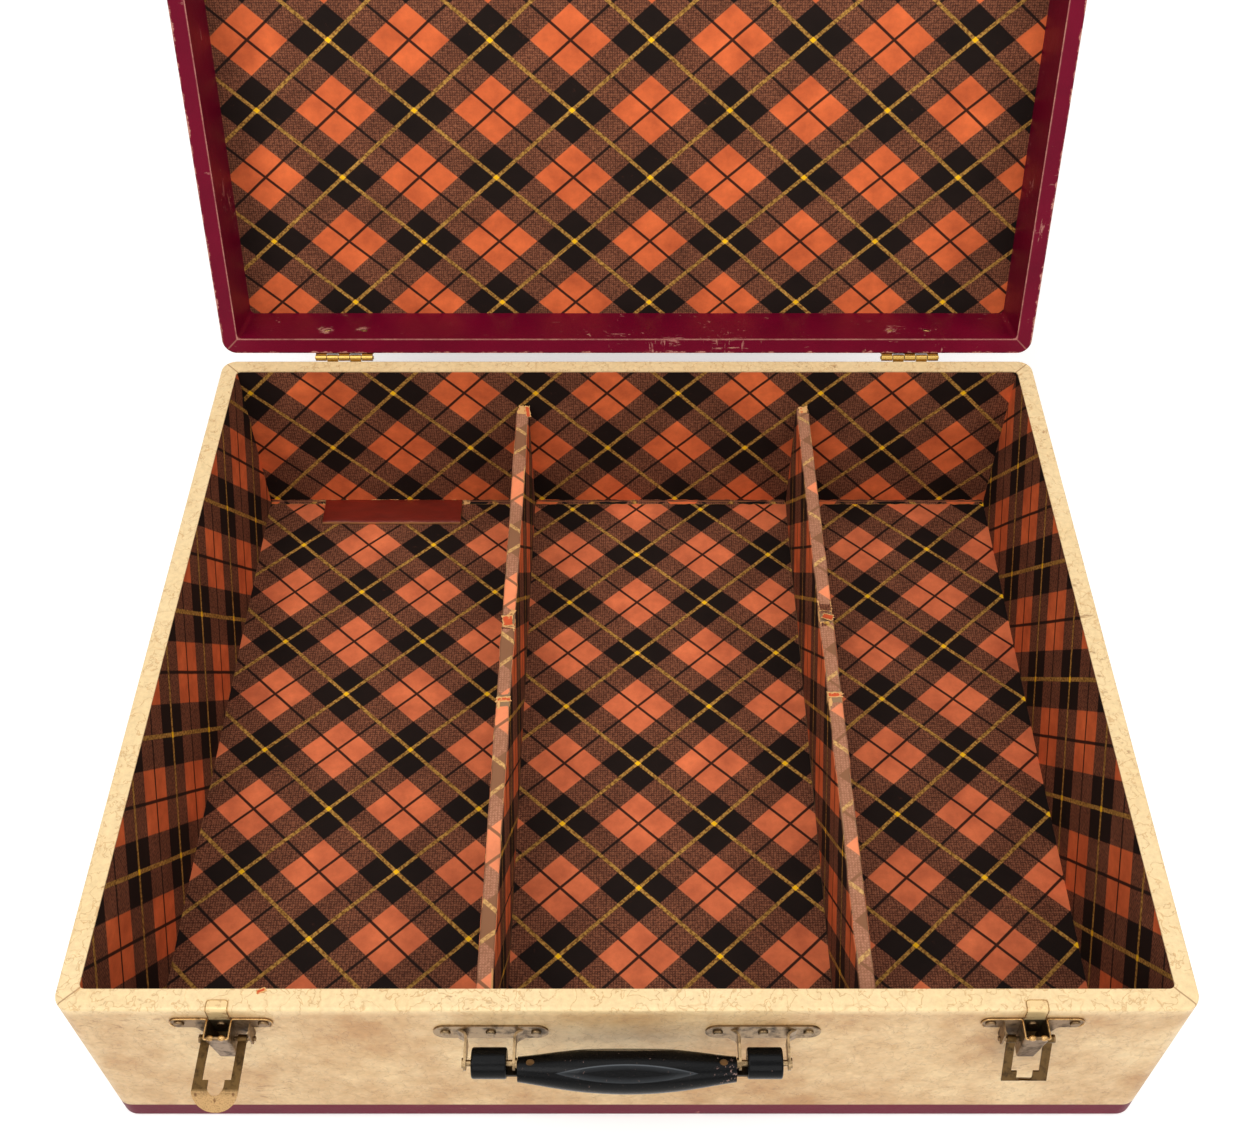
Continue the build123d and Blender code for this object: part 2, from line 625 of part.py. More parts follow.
# Catches: socket plate, back plate with its tab over the rim, pin and loop
for side, sign in sides.items():
    catch_x = sign * catch_spacing / 2
    prong_x = catch_x - sign * prong_from_centre

    with BuildPart() as catch_socket:
        with BuildSketch(Plane.XZ.offset(half_depth)) as flange:
            with Locations((catch_x, catch_ear_z)):
                SlotOverall(catch_width, catch_ear_height)
            Polygon(
                (catch_x - catch_body_width / 2, catch_ear_z),
                (catch_x + catch_body_width / 2, catch_ear_z),
                (catch_x + catch_body_foot_width / 2, catch_top - catch_body_height),
                (catch_x - catch_body_foot_width / 2, catch_top - catch_body_height),
                align=None,
            )
            fillet(flange.vertices().filter_by_position(Axis.Y, 0, catch_ear_z), catch_shoulder_radius)
        extrude(amount=catch_sheet)
        with BuildSketch(Plane.XY.offset(pocket_foot)) as foot:
            with Locations((catch_x, -half_depth)):
                Rectangle(pocket_foot_width, pocket_foot_depth, align=(Align.CENTER, Align.MAX))
            fillet(foot.vertices().sort_by(Axis.Y)[:2], pocket_foot_corner_radius)
        with BuildSketch(Plane.XY.offset(catch_top)) as mouth:
            with Locations((catch_x, -half_depth)):
                Rectangle(pocket_width, pocket_depth, align=(Align.CENTER, Align.MAX))
            fillet(mouth.vertices().sort_by(Axis.Y)[:2], pocket_corner_radius)
        loft()
        with BuildSketch(Plane.YZ.offset(prong_x)):
            with Locations((-half_depth, loop_pin_z - loop_eye_radius)):
                Rectangle(
                    prong_reach, prong_root_height + catch_ear_height / 2, align=(Align.MAX, Align.MIN)
                )
        extrude(amount=-sign * catch_sheet)
        prong_end = catch_socket.edges().filter_by(Axis.X).filter_by_position(
            Axis.Y, -half_depth - prong_reach - rivet_gap, -half_depth - prong_reach + rivet_gap
        )
        fillet(prong_end, loop_eye_radius)
        with BuildSketch(Plane.YZ.offset(catch_x - pocket_foot_width / 2)):
            with Locations((-half_depth - pocket_depth + pocket_lip_radius / 2, catch_top)):
                Circle(pocket_lip_radius)
        extrude(amount=pocket_foot_width)
        with BuildSketch(Plane.XY.offset(pocket_foot + catch_sheet)):
            with Locations((catch_x, -half_depth)):
                Rectangle(
                    pocket_foot_inner_width, pocket_foot_depth - catch_sheet, align=(Align.CENTER, Align.MAX)
                )
        with BuildSketch(Plane.XY.offset(catch_top + pocket_lip_radius)):
            with Locations((catch_x, -half_depth)):
                Rectangle(pocket_inner_width, pocket_depth - catch_sheet, align=(Align.CENTER, Align.MAX))
        loft(mode=Mode.SUBTRACT)
        with BuildSketch(Plane.YZ.offset(catch_x)):
            with Locations((loop_pin_y, loop_pin_z)):
                Circle(loop_pin_radius + running_gap)
        extrude(amount=catch_width / 2, both=True, mode=Mode.SUBTRACT)
        with BuildSketch(Plane.XZ.offset(half_depth)):
            with Locations((catch_x - catch_ear_x, catch_ear_z), (catch_x + catch_ear_x, catch_ear_z)):
                Circle(rivet_shank_radius + rivet_gap)
        extrude(amount=catch_sheet, mode=Mode.SUBTRACT)
    catch_socket.part.label = f"catch_socket_{side}"
    export_step(catch_socket.part, f"parts/catch_socket_{side}.step")

    with BuildPart() as catch_back_plate:
        with BuildSketch(Plane.YZ.offset(catch_x - tab_width / 2)) as outer_bend:
            with Locations((-half_depth - tab_sheet, base_height + tab_sheet)):
                Rectangle(
                    tab_fold_depth + tab_sheet, catch_below_rim + tab_sheet, align=(Align.MIN, Align.MAX)
                )
            front_corners = outer_bend.vertices().sort_by(Axis.X)[:2]
            fillet(front_corners.sort_by(Axis.Y)[-1], rim_edge_radius + tab_sheet)
        extrude(amount=tab_width)
        with BuildSketch(Plane.YZ.offset(catch_x - tab_width / 2)) as inner_bend:
            with Locations((-half_depth, base_height)):
                Rectangle(tab_fold_depth, catch_below_rim, align=(Align.MIN, Align.MAX))
            front_corners = inner_bend.vertices().sort_by(Axis.X)[:2]
            fillet(front_corners.sort_by(Axis.Y)[-1], rim_edge_radius)
        extrude(amount=tab_width, mode=Mode.SUBTRACT)
        with BuildSketch(Plane.XZ.offset(half_depth)):
            Polygon(
                (catch_x - back_plate_foot_width / 2, catch_top - back_plate_below_mouth),
                (catch_x - tab_width / 2, catch_top),
                (catch_x + tab_width / 2, catch_top),
                (catch_x + back_plate_foot_width / 2, catch_top - back_plate_below_mouth),
                align=None,
            )
        extrude(amount=tab_sheet)
        with BuildSketch(Plane.XZ.offset(half_depth)):
            with Locations((catch_x, pocket_rivet_z)):
                Circle(rivet_shank_radius + rivet_gap)
        extrude(amount=tab_sheet, mode=Mode.SUBTRACT)
    catch_back_plate.part.label = f"catch_back_plate_{side}"
    export_step(catch_back_plate.part, f"parts/catch_back_plate_{side}.step")

    # The pin's upset head bears on the loop's outer arm, and its other end stands in the prong
    with BuildPart() as catch_pin:
        with BuildSketch(Plane.YZ.offset(catch_x + sign * (loop_width / 2 + running_gap))):
            with Locations((loop_pin_y, loop_pin_z)):
                Circle(loop_pin_head_radius)
        extrude(amount=sign * loop_pin_head_height)
        with BuildSketch(Plane.YZ.offset(catch_x + sign * loop_pin_start)):
            with Locations((loop_pin_y, loop_pin_z)):
                Circle(loop_pin_radius)
        extrude(amount=-sign * (loop_pin_start + loop_pin_end))
    catch_pin.part.label = f"catch_pin_{side}"
    export_step(catch_pin.part, f"parts/catch_pin_{side}.step")

    loop_frame = turned(loop_pin_y, loop_pin_z, loop_angles[side])
    crease_y = loop_pin_y - loop_crease
    with BuildPart() as catch_loop:
        with BuildSketch(level(loop_frame, loop_pin_z)):
            with Locations((catch_x, loop_pin_y)):
                Rectangle(loop_width, loop_crease, align=(Align.CENTER, Align.MAX))
        extrude(amount=loop_sheet / 2, both=True)
        crease = Plane(Location((catch_x, crease_y, loop_pin_z), (loop_tab_angle, 0, 0)))
        with BuildSketch(on(loop_frame, crease)):
            with Locations((0, loop_width / 2 - loop_tab_length)):
                Circle(loop_width / 2)
            Rectangle(loop_width, loop_width, align=(Align.CENTER, Align.MAX), mode=Mode.INTERSECT)
        extrude(amount=loop_sheet / 2, both=True)
        with BuildSketch(facing_right(loop_frame, catch_x)):
            with Locations((loop_pin_y, loop_pin_z)):
                Circle(loop_eye_radius)
            with Locations((crease_y, loop_pin_z)):
                Circle(loop_sheet / 2)
        extrude(amount=loop_width / 2, both=True)
        with BuildSketch(level(loop_frame, loop_pin_z)):
            with Locations((catch_x, loop_pin_y + loop_eye_radius)):
                Rectangle(
                    loop_slot_width, loop_slot_length + loop_eye_radius, align=(Align.CENTER, Align.MAX)
                )
            with Locations((catch_x, loop_pin_y)):
                Rectangle(loop_throat_width, loop_throat_centre, align=(Align.CENTER, Align.MAX))
            with Locations((catch_x, loop_pin_y - loop_throat_centre)):
                Circle(loop_throat_width / 2)
        extrude(amount=loop_crease, both=True, mode=Mode.SUBTRACT)
        with BuildSketch(facing_right(loop_frame, catch_x)):
            with Locations((loop_pin_y, loop_pin_z)):
                Circle(loop_pin_radius + running_gap)
        extrude(amount=loop_width, both=True, mode=Mode.SUBTRACT)
    catch_loop.part.label = f"catch_loop_{side}"
    export_step(catch_loop.part, f"parts/catch_loop_{side}.step")

    # Keeper on the lid: a plate, the tongue that drops into the socket, and the nose for the loop
    with BuildPart() as lid_keeper:
        keeper_foot = lid_rim + keeper_above_rim
        with BuildSketch(facing_front(lid_frame, half_depth)) as keeper_plate:
            with Locations((catch_x, keeper_foot)):
                Rectangle(keeper_width, keeper_height, align=(Align.CENTER, Align.MIN))
            fillet(keeper_plate.vertices(), keeper_corner_radius)
        extrude(amount=keeper_sheet)
        with BuildSketch(facing_front(lid_frame, half_depth)):
            with Locations((catch_x, keeper_foot)):
                Rectangle(tongue_width, keeper_corner_radius, align=(Align.CENTER, Align.MIN))
        extrude(amount=tongue_out + keeper_sheet)
        with BuildSketch(facing_front(lid_frame, half_depth + tongue_out)):
            with Locations((catch_x, base_height - tongue_below_rim)):
                Rectangle(
                    tongue_width,
                    keeper_foot - base_height + tongue_below_rim,
                    align=(Align.CENTER, Align.MIN),
                )
        extrude(amount=keeper_sheet)
        with BuildSketch(facing_front(lid_frame, half_depth + tongue_out)):
            with Locations((catch_x, nose_z)):
                Circle(nose_radius)
        extrude(amount=nose_reach - tongue_out)
        with BuildSketch(facing_front(lid_frame, half_depth + nose_reach)):
            with Locations((catch_x, nose_z), (catch_x, nose_z + nose_lip_rise)):
                Circle(nose_radius)
        extrude(amount=nose_lip_thickness)
        with BuildSketch(facing_front(lid_frame, half_depth)):
            with Locations((catch_x, lid_rim + keeper_rivet_rise)):
                with GridLocations(keeper_rivet_spacing, 0, 2, 1):
                    Circle(rivet_shank_radius + rivet_gap)
        extrude(amount=keeper_sheet, mode=Mode.SUBTRACT)
    lid_keeper.part.label = f"lid_keeper_{side}"
    export_step(lid_keeper.part, f"parts/lid_keeper_{side}.step")

rivet_sizes = (rivet_head_radius, rivet_head_height, rivet_head_rounding, rivet_shank_radius)
front_face = facing_front(case_frame, half_depth)
catch_rivets = fasteners(front_face, catch_rivet_places, 1, catch_sheet, wall_stack, *rivet_sizes)
catch_rivets.label = "catch_rivets"
export_step(catch_rivets, "parts/catch_rivets.step")

pocket_rivets = fasteners(front_face, pocket_rivet_places, 1, tab_sheet, wall_stack, *rivet_sizes)
pocket_rivets.label = "pocket_rivets"
export_step(pocket_rivets, "parts/pocket_rivets.step")

lid_front_face = facing_front(lid_frame, half_depth)
keeper_rivets = fasteners(lid_front_face, keeper_rivet_places, 1, keeper_sheet, wall_stack, *rivet_sizes)
keeper_rivets.label = "keeper_rivets"
export_step(keeper_rivets, "parts/keeper_rivets.step")

# Handle brackets: a plate with two prongs that curve in from it and hold a pin
for side, sign in sides.items():
    bracket_x = sign * bracket_spacing / 2
    with BuildPart() as prongs:
        with BuildSketch(Plane.XY.offset(handle_pin_z - bracket_prong_root_height)):
            for prong_sign in (-1, 1):
                prong_x = bracket_x + prong_sign * bracket_prong_spacing / 2
                root_x = prong_x + prong_sign * bracket_prong_flare
                bend_y = -half_depth - bracket_prong_bend
                with BuildLine() as prong_line:
                    Spline(
                        (root_x, -half_depth),
                        (prong_x, bend_y),
                        tangents=((-prong_sign, -1), (0, -1)),
                    )
                    Line((prong_x, bend_y), (prong_x, handle_pin_y - bracket_prong_end_radius))
                trace(prong_line.line, line_width=bracket_prong_thickness)
        extrude(amount=2 * bracket_prong_root_height)
        with BuildSketch(Plane.YZ.offset(bracket_x)):
            Polygon(
                (-half_depth, handle_pin_z - bracket_prong_root_height / 2),
                (-half_depth, handle_pin_z + bracket_prong_root_height / 2),
                (handle_pin_y, handle_pin_z + bracket_prong_end_radius),
                (handle_pin_y, handle_pin_z - bracket_prong_end_radius),
                align=None,
            )
            with Locations((handle_pin_y, handle_pin_z)):
                Circle(bracket_prong_end_radius)
        extrude(amount=bracket_width, both=True, mode=Mode.INTERSECT)

    with BuildPart() as handle_bracket:
        with BuildSketch(Plane.XZ.offset(half_depth)):
            with Locations((bracket_x, bracket_z)):
                SlotOverall(bracket_width, bracket_height)
        extrude(amount=bracket_sheet)
        add(prongs.part)
        with BuildSketch(Plane.YZ.offset(bracket_x)):
            with Locations((handle_pin_y, handle_pin_z)):
                Circle(handle_pin_radius + running_gap)
        extrude(amount=bracket_width / 2, both=True, mode=Mode.SUBTRACT)
        with BuildSketch(Plane.XZ.offset(half_depth)):
            with Locations((bracket_x, bracket_z)):
                with GridLocations(bracket_rivet_spacing / 2, 0, 3, 1):
                    Circle(rivet_shank_radius + rivet_gap)
        extrude(amount=bracket_sheet, mode=Mode.SUBTRACT)
    handle_bracket.part.label = f"handle_bracket_{side}"
    export_step(handle_bracket.part, f"parts/handle_bracket_{side}.step")

    with BuildPart() as handle_pin:
        with BuildSketch(Plane.YZ.offset(bracket_x)):
            with Locations((handle_pin_y, handle_pin_z)):
                Circle(handle_pin_radius)
        extrude(amount=handle_pin_reach + handle_pin_head_height, both=True)
        for end_sign in (-1, 1):
            with BuildSketch(Plane.YZ.offset(bracket_x + end_sign * handle_pin_reach)):
                with Locations((handle_pin_y, handle_pin_z)):
                    Circle(handle_pin_head_radius)
            extrude(amount=end_sign * handle_pin_head_height)
    handle_pin.part.label = f"handle_pin_{side}"
    export_step(handle_pin.part, f"parts/handle_pin_{side}.step")

bracket_rivets = fasteners(front_face, bracket_rivet_places, 1, bracket_sheet, wall_stack, *rivet_sizes)
bracket_rivets.label = "bracket_rivets"
export_step(bracket_rivets, "parts/bracket_rivets.step")

# Handle: a steel strap with an eye at each end, black sleeves over the eyes and a faceted grip
screw_seat = facing_front(handle_frame, -screw_seat_y)
screw_places = [(sign * grip_screw_x, handle_pin_z) for sign in sides.values()]
with BuildPart() as handle_core:
    with BuildSketch(facing_right(handle_frame, -core_half_length)):
        with Locations((strap_y, handle_pin_z)):
            Rectangle(core_strap_thickness, core_strap_width, align=(Align.MAX, Align.CENTER))
    extrude(amount=2 * core_half_length)
    for sign in sides.values():
        with BuildSketch(facing_right(handle_frame, sign * bracket_spacing / 2)):
            with Locations((handle_pin_y, handle_pin_z)):
                Circle(core_eye_radius + core_gap)
        extrude(amount=sleeve_length / 2, both=True)
    with BuildSketch(facing_right(handle_frame, -core_half_length)):
        with Locations((handle_pin_y, handle_pin_z)):
            Circle(handle_pin_radius + running_gap)
    extrude(amount=2 * core_half_length, mode=Mode.SUBTRACT)
    with BuildSketch(screw_seat):
        with Locations(*screw_places):
            Circle(grip_screw_radius + rivet_gap)
    extrude(amount=grip_screw_length, mode=Mode.SUBTRACT)
handle_core.part.label = "handle_core"
export_step(handle_core.part, "parts/handle_core.step")

for side, sign in sides.items():
    with BuildPart() as handle_sleeve:
        with BuildSketch(facing_right(handle_frame, sign * bracket_spacing / 2)):
            with Locations((handle_pin_y, handle_pin_z)):
                Circle(sleeve_radius)
        extrude(amount=sleeve_length / 2, both=True)
        fillet(handle_sleeve.edges().filter_by(GeomType.CIRCLE), sleeve_edge_radius)
        with BuildSketch(facing_right(handle_frame, sign * bracket_spacing / 2)):
            with Locations((handle_pin_y, handle_pin_z)):
                Circle(core_eye_radius + 2 * core_gap)
            with Locations((strap_y + core_gap, handle_pin_z)):
                Rectangle(
                    core_strap_thickness + 2 * core_gap,
                    core_strap_width + 2 * core_gap,
                    align=(Align.MAX, Align.CENTER),
                )
        extrude(amount=sleeve_length, both=True, mode=Mode.SUBTRACT)
    handle_sleeve.part.label = f"handle_sleeve_{side}"
    export_step(handle_sleeve.part, f"parts/handle_sleeve_{side}.step")

with BuildPart() as handle_grip:
    for place, radius, bow in zip(grip_place_shares, grip_radius_shares, grip_bow_shares):
        centre_y = handle_pin_y - grip_end_bow - bow * (grip_bow - grip_end_bow)
        with BuildSketch(facing_right(handle_frame, place * grip_half_length)):
            with Locations((centre_y, handle_pin_z)):
                Circle(radius * grip_radius)
    loft()
    for facet_angle in (grip_facet_angle, -grip_facet_angle):
        outward = Location((0, handle_pin_y - grip_bow, handle_pin_z), (facet_angle, 0, 0))
        facet = on(handle_frame, Plane(outward * Plane.XZ.offset(grip_radius - grip_facet_depth).location))
        split(bisect_by=facet, keep=Keep.BOTTOM)
    with BuildSketch(facing_right(handle_frame, -grip_half_length)):
        with Locations((strap_y + core_gap, handle_pin_z)):
            Rectangle(
                core_strap_thickness + 2 * core_gap,
                core_strap_width + 2 * core_gap,
                align=(Align.MAX, Align.CENTER),
            )
    extrude(amount=2 * grip_half_length, mode=Mode.SUBTRACT)
    with BuildSketch(screw_seat):
        with Locations(*screw_places):
            Circle(grip_screw_recess_radius)
    extrude(amount=-grip_radius, mode=Mode.SUBTRACT)
    with BuildSketch(screw_seat):
        with Locations(*screw_places):
            Circle(grip_screw_radius + rivet_gap)
    extrude(amount=grip_screw_length, mode=Mode.SUBTRACT)
handle_grip.part.label = "handle_grip"
export_step(handle_grip.part, "parts/handle_grip.step")

with BuildPart() as grip_screws:
    with BuildSketch(screw_seat):
        with Locations(*screw_places):
            Circle(grip_screw_head_radius)
    extrude(amount=-grip_screw_head_height)
    with BuildSketch(screw_seat):
        with Locations(*screw_places):
            Circle(grip_screw_radius)
    extrude(amount=grip_screw_length)
grip_screws.part.label = "grip_screws"
export_step(grip_screws.part, "parts/grip_screws.step")
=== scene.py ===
"""Looks of an open carrying case: papered bays, pale covered walls, a dark red lid, brass catches.

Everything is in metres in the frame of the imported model: +X to the case's right, +Y to the hinges.
"""

from __future__ import annotations

import logging
import math
from collections.abc import Callable, Sequence
from dataclasses import dataclass, field
from enum import Enum
from functools import partial
from typing import Any, ClassVar

import bpy
from bpy.types import Material, Node, NodeSocket, NodeTree, Object
from mathutils import Matrix, Vector, noise


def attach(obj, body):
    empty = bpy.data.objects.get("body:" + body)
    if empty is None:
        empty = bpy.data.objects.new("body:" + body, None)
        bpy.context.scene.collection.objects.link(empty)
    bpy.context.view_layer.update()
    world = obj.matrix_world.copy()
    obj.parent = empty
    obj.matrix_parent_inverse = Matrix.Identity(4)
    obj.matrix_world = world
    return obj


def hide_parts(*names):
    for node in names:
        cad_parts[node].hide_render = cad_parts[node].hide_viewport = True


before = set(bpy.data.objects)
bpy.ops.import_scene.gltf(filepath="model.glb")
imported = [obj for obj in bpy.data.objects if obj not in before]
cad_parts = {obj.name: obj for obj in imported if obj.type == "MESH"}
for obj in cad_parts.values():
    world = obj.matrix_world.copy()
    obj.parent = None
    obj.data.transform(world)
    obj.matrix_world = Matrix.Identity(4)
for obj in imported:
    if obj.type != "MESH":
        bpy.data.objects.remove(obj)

LOG = logging.getLogger("carrying_case")
Add = Callable[..., Node]
Sockets = dict[str, Any]
Triple = tuple[float, float, float]
MM = 0.001

HALF_WIDTH = 266.7 * MM
HALF_DEPTH = 226.0 * MM
WALL = 10.5 * MM
FLOOR_Z = 5.5 * MM
BACK_Y = 215.5 * MM
LID_RIM_Z = 131.0 * MM
HINGE = Vector((0.0, 228.5, 130.5)) * MM
LID_ANGLE = math.radians(106.0)
NAIL_Y_MM = 215.3


class Side(Enum):
    """Which of a pair a piece is, as it ends a node's name."""

    LEFT = "left"
    RIGHT = "right"


class Bay(Enum):
    """Which sheet of the printed paper a surface is cut from, as the two axes that it lies along."""

    LEVEL = ("X", "Y")
    FACING = ("X", "Z")
    SIDE = ("Y", "Z")


def linear(hex_colour: str) -> tuple[float, float, float, float]:
    """Turns an sRGB hex colour into the linear colour that a shader takes.

    Args:
        hex_colour: Six hex digits after a hash sign.

    Returns:
        Linear red, green, blue and an alpha of 1.
    """
    channels = [int(hex_colour[i : i + 2], 16) / 255 for i in (1, 3, 5)]
    values = [c / 12.92 if c <= 0.04045 else ((c + 0.055) / 1.055) ** 2.4 for c in channels]
    return (values[0], values[1], values[2], 1.0)


def add_node(tree: NodeTree, kind: str, links: Sockets | Sequence[Any] = (), mode: str = "",
             **settings: Any) -> Node:
    """Adds a node with its settings, and its sockets' values or links.

    Args:
        tree: Node tree of the material.
        kind: Blender's name of the node's type, after its ShaderNode.
        links: The sockets by name, or those in use in their order, each with a value, a hex colour, or the
            socket or node that feeds it. A node feeds by its first output in use. In order, a noise takes
            its place, scale, detail and roughness, a map range its value, both from ends and both to ends,
            and a mix its factor and both colours.
        mode: The operation of a maths node, or the type of data that a mix blends.
        settings: Other properties of the node.

    Returns:
        The new node.
    """
    made = tree.nodes.new(f"ShaderNode{kind}")
    if mode:
        settings["data_type" if kind == "Mix" else "operation"] = mode
    for name, value in settings.items():
        setattr(made, name, value)
    if not isinstance(links, dict):
        in_use = [number for number, socket in enumerate(made.inputs) if socket.enabled]
        links = dict(zip(in_use, links))
    for socket, value in links.items():
        if isinstance(value, Node):
            value = next(output for output in value.outputs if output.enabled)
        if isinstance(value, NodeSocket):
            tree.links.new(value, made.inputs[socket])
        else:
            made.inputs[socket].default_value = linear(value) if isinstance(value, str) else value
    return made


def set_stops(ramp: Node, *stops: tuple[float, str | tuple[int, int, int, int]]) -> None:
    """Gives a colour ramp its stops.

    Args:
        ramp: Colour ramp node.
        stops: Places from 0 to 1, each with a hex colour or with its linear channels.
    """
    elements = ramp.color_ramp.elements
    while len(elements) < len(stops):
        elements.new(1.0)
    for element, (place, colour) in zip(elements, stops):
        element.position = place
        element.color = linear(colour) if isinstance(colour, str) else colour


def place_of(add: Add, on_lid: bool = False) -> NodeSocket:
    """Object coordinates, for a material on the lid turned back to where it lies when it is shut.

    Args:
        add: Adds a node to the material.
        on_lid: Whether the material is on the lid.

    Returns:
        The socket with the coordinates.
    """
    place = add("TexCoord").outputs["Object"]
    if not on_lid:
        return place
    shift = HINGE - Matrix.Rotation(LID_ANGLE, 3, "X") @ HINGE
    return add("Mapping", [place, shift, (LID_ANGLE, 0.0, 0.0)]).outputs["Vector"]


def seen_at_once(add: Add) -> Node:
    """Adds a node that is 1 where the camera or a mirror sees the surface, and 0 for other light."""
    path = add("LightPath")
    return add("Math", [path.outputs["Is Camera Ray"], path.outputs["Is Glossy Ray"]], "MAXIMUM")


@dataclass(frozen=True)
class Finish:
    """A material whose look is painted round one Principled shader."""

    name: str

    def paint(self, add: Add) -> Sockets:
        """Adds the nodes of the look.

        Args:
            add: Adds a node to the material.

        Returns:
            The shader's sockets, each with what feeds it.
        """
        raise NotImplementedError

    def build(self) -> Material:
        """Makes the material.

        Returns:
            The material, with its look on its shader.
        """
        material = bpy.data.materials.new(self.name)
        material.use_nodes = True
        material.node_tree.nodes.clear()
        add = partial(add_node, material.node_tree)
        add("OutputMaterial", [add("BsdfPrincipled", self.paint(add))])
        return material


@dataclass(frozen=True)
class TartanPaper(Finish):
    """Uncoated book paper, letterpress printed: flat inks, a fine woven screen where two meet, no gloss."""

    plane: Bay
    period: tuple[float, float]
    dot: tuple[float, float]
    on_lid: bool = False
    wrapped: bool = False
    orange: str = "#E6743E"
    red: str = "#CC5A35"
    black: str = "#1B110D"
    ochre: str = "#BC8D43"
    worn_ochre: str = "#70491F"
    yellow: str = "#FFC41C"
    bare: str = "#7C4632"
    faded: str = "#865B3E"
    core: str = "#D8A468"
    fold: str = "#C4532E"

    def paint(self, add: Add) -> Sockets:
        """Sets the print out for one sheet, and wears it.

        Args:
            add: Adds a node to the material.

        Returns:
            The shader's sockets, each with what feeds it.
        """
        across = add("SeparateXYZ", [place_of(add, self.on_lid)])
        flat = add("CombineXYZ", [across.outputs[axis] for axis in self.plane.value])
        if self.wrapped:
            # The print turns where the paper goes over the board's top edge
            normal = add("SeparateXYZ", [add("TexCoord").outputs["Normal"]])
            up = add("Math", [normal.outputs["Z"], 0.6], "GREATER_THAN")
            top = add("CombineXYZ", [across.outputs["Y"], across.outputs["X"]])
            flat = add("Mix", [up, flat, top], "VECTOR")

        # The sett of the tartan runs on the bias, so the sheet is turned by 45 degrees
        bias = math.radians(-45)
        scale = (math.sqrt(2) / (self.period[0] * MM), math.sqrt(2) / (self.period[1] * MM), 1.0)
        dot = Vector((self.dot[0] * MM * scale[0], self.dot[1] * MM * scale[1], 0.0))
        sett = add("Mapping", [flat, -(Matrix.Rotation(bias, 3, "Z") @ dot), (0.0, 0.0, bias), scale])
        wander = add("TexNoise", [flat, 30.0, 2.0])
        drift = add("VectorMath", [wander.outputs["Color"], (0.012, 0.012, 0.0), sett], "MULTIPLY_ADD")
        moved = add("VectorMath", [drift, (0.494, 0.494, 0.0)], "ADD")
        fraction = add("VectorMath", [moved], "FRACTION")
        centred = add("VectorMath", [fraction, (0.5, 0.5, 0.0)], "SUBTRACT")
        split = add("SeparateXYZ", [add("VectorMath", [centred], "ABSOLUTE")])

        # Red holds the black band, green the yellow line in it, blue the thin line in the orange band, and
        # alpha a strip a little wider than the yellow line, for the dots where two such lines cross
        bands, strips = [], []
        for axis in ("X", "Y"):
            ramp = add("ValToRGB", [split.outputs[axis]])
            set_stops(ramp, (0.0, (1, 1, 0, 1)), (0.0155, (1, 1, 0, 1)), (0.0195, (1, 0, 0, 1)),
                      (0.024, (1, 0, 0, 0)), (0.247, (1, 0, 0, 0)), (0.252, (0, 0, 0, 0)),
                      (0.484, (0, 0, 0, 0)), (0.489, (0, 0, 1, 0)), (0.5, (0, 0, 1, 0)))
            bands.append(add("SeparateColor", [ramp]))
            strips.append(ramp.outputs["Alpha"])

        # Black crosses orange in a screen of one thread in 1.5 mm, uneven as hand-fed printing leaves it
        pitch = 2 * math.pi / (20 * 1.5 * MM)
        threads = [add("TexWave", [flat, pitch, 1.2, 1.0, 2.0], bands_direction=axis).outputs["Fac"]
                   for axis in ("X", "Y")]
        weave = add("Math", threads, "MULTIPLY")
        speckle = add("TexNoise", [flat, 620.0, 4.0, 0.6])
        screen = add("ValToRGB", [add("Math", [weave, 0.28, speckle], "MULTIPLY_ADD")])
        set_stops(screen, (0.42, "#4B2A1E"), (0.56, "#693D2B"), (0.78, "#935C41"))
        count = add("Math", [band.outputs["Red"] for band in bands], "ADD")
        one = add("Math", [count, 1.0], "MINIMUM")
        two = add("Math", [count, 1.0], "SUBTRACT", use_clamp=True)
        thin = add("Math", [band.outputs["Blue"] for band in bands], "MAXIMUM")
        worn_thin = add("Math", [thin, 0.95], "MULTIPLY")
        line = add("Math", [band.outputs["Green"] for band in bands], "MAXIMUM")
        dots = add("Math", strips, "MINIMUM")
        broken = add("MapRange", [speckle, 0.40, 0.58])
        ochre = add("Mix", [broken, self.worn_ochre, self.ochre], "RGBA")
        blotch = add("TexNoise", [flat, 38.0, 5.0, 0.65])
        colour = add("Mix", [blotch, self.red, self.orange], "RGBA")
        for printed, ink in ((one, screen), (two, self.black), (worn_thin, self.black), (line, ochre),
                             (dots, self.yellow)):
            colour = add("Mix", [printed, colour, ink], "RGBA")

        # Damp and handling have left the ink uneven, and the paper shows a little where it is rubbed
        stained = add("MapRange", [blotch, 0.30, 0.70, 0.74, 1.20])
        uneven = add("HueSaturation", {"Value": stained, "Color": colour})
        rub = add("TexNoise", [flat, 130.0, 8.0, 0.75])
        rubbed = add("MapRange", [rub, 0.62, 0.80, 0.0, 0.35])
        colour = add("Mix", [rubbed, uneven, self.bare], "RGBA")
        if self.wrapped:
            # Handled edges have faded, and a tear shows first the pale core and then the red of the fold
            pale, torn = (add("Attribute", attribute_name=name).outputs["Fac"]
                          for name in ("faded", "torn"))
            lighter = add("VectorMath", [colour, (0.85, 1.1, 1.6), linear(self.faded)[:3]], "MULTIPLY_ADD")
            colour = add("Mix", [pale, colour, lighter], "RGBA")
            ragged = add("Math", [rub, 1.4, torn], "MULTIPLY_ADD")
            for reach, tint in ((1.26, self.core), (1.52, self.fold)):
                bared = add("MapRange", [ragged, reach, reach + 0.08])
                colour = add("Mix", [bared, colour, tint], "RGBA")

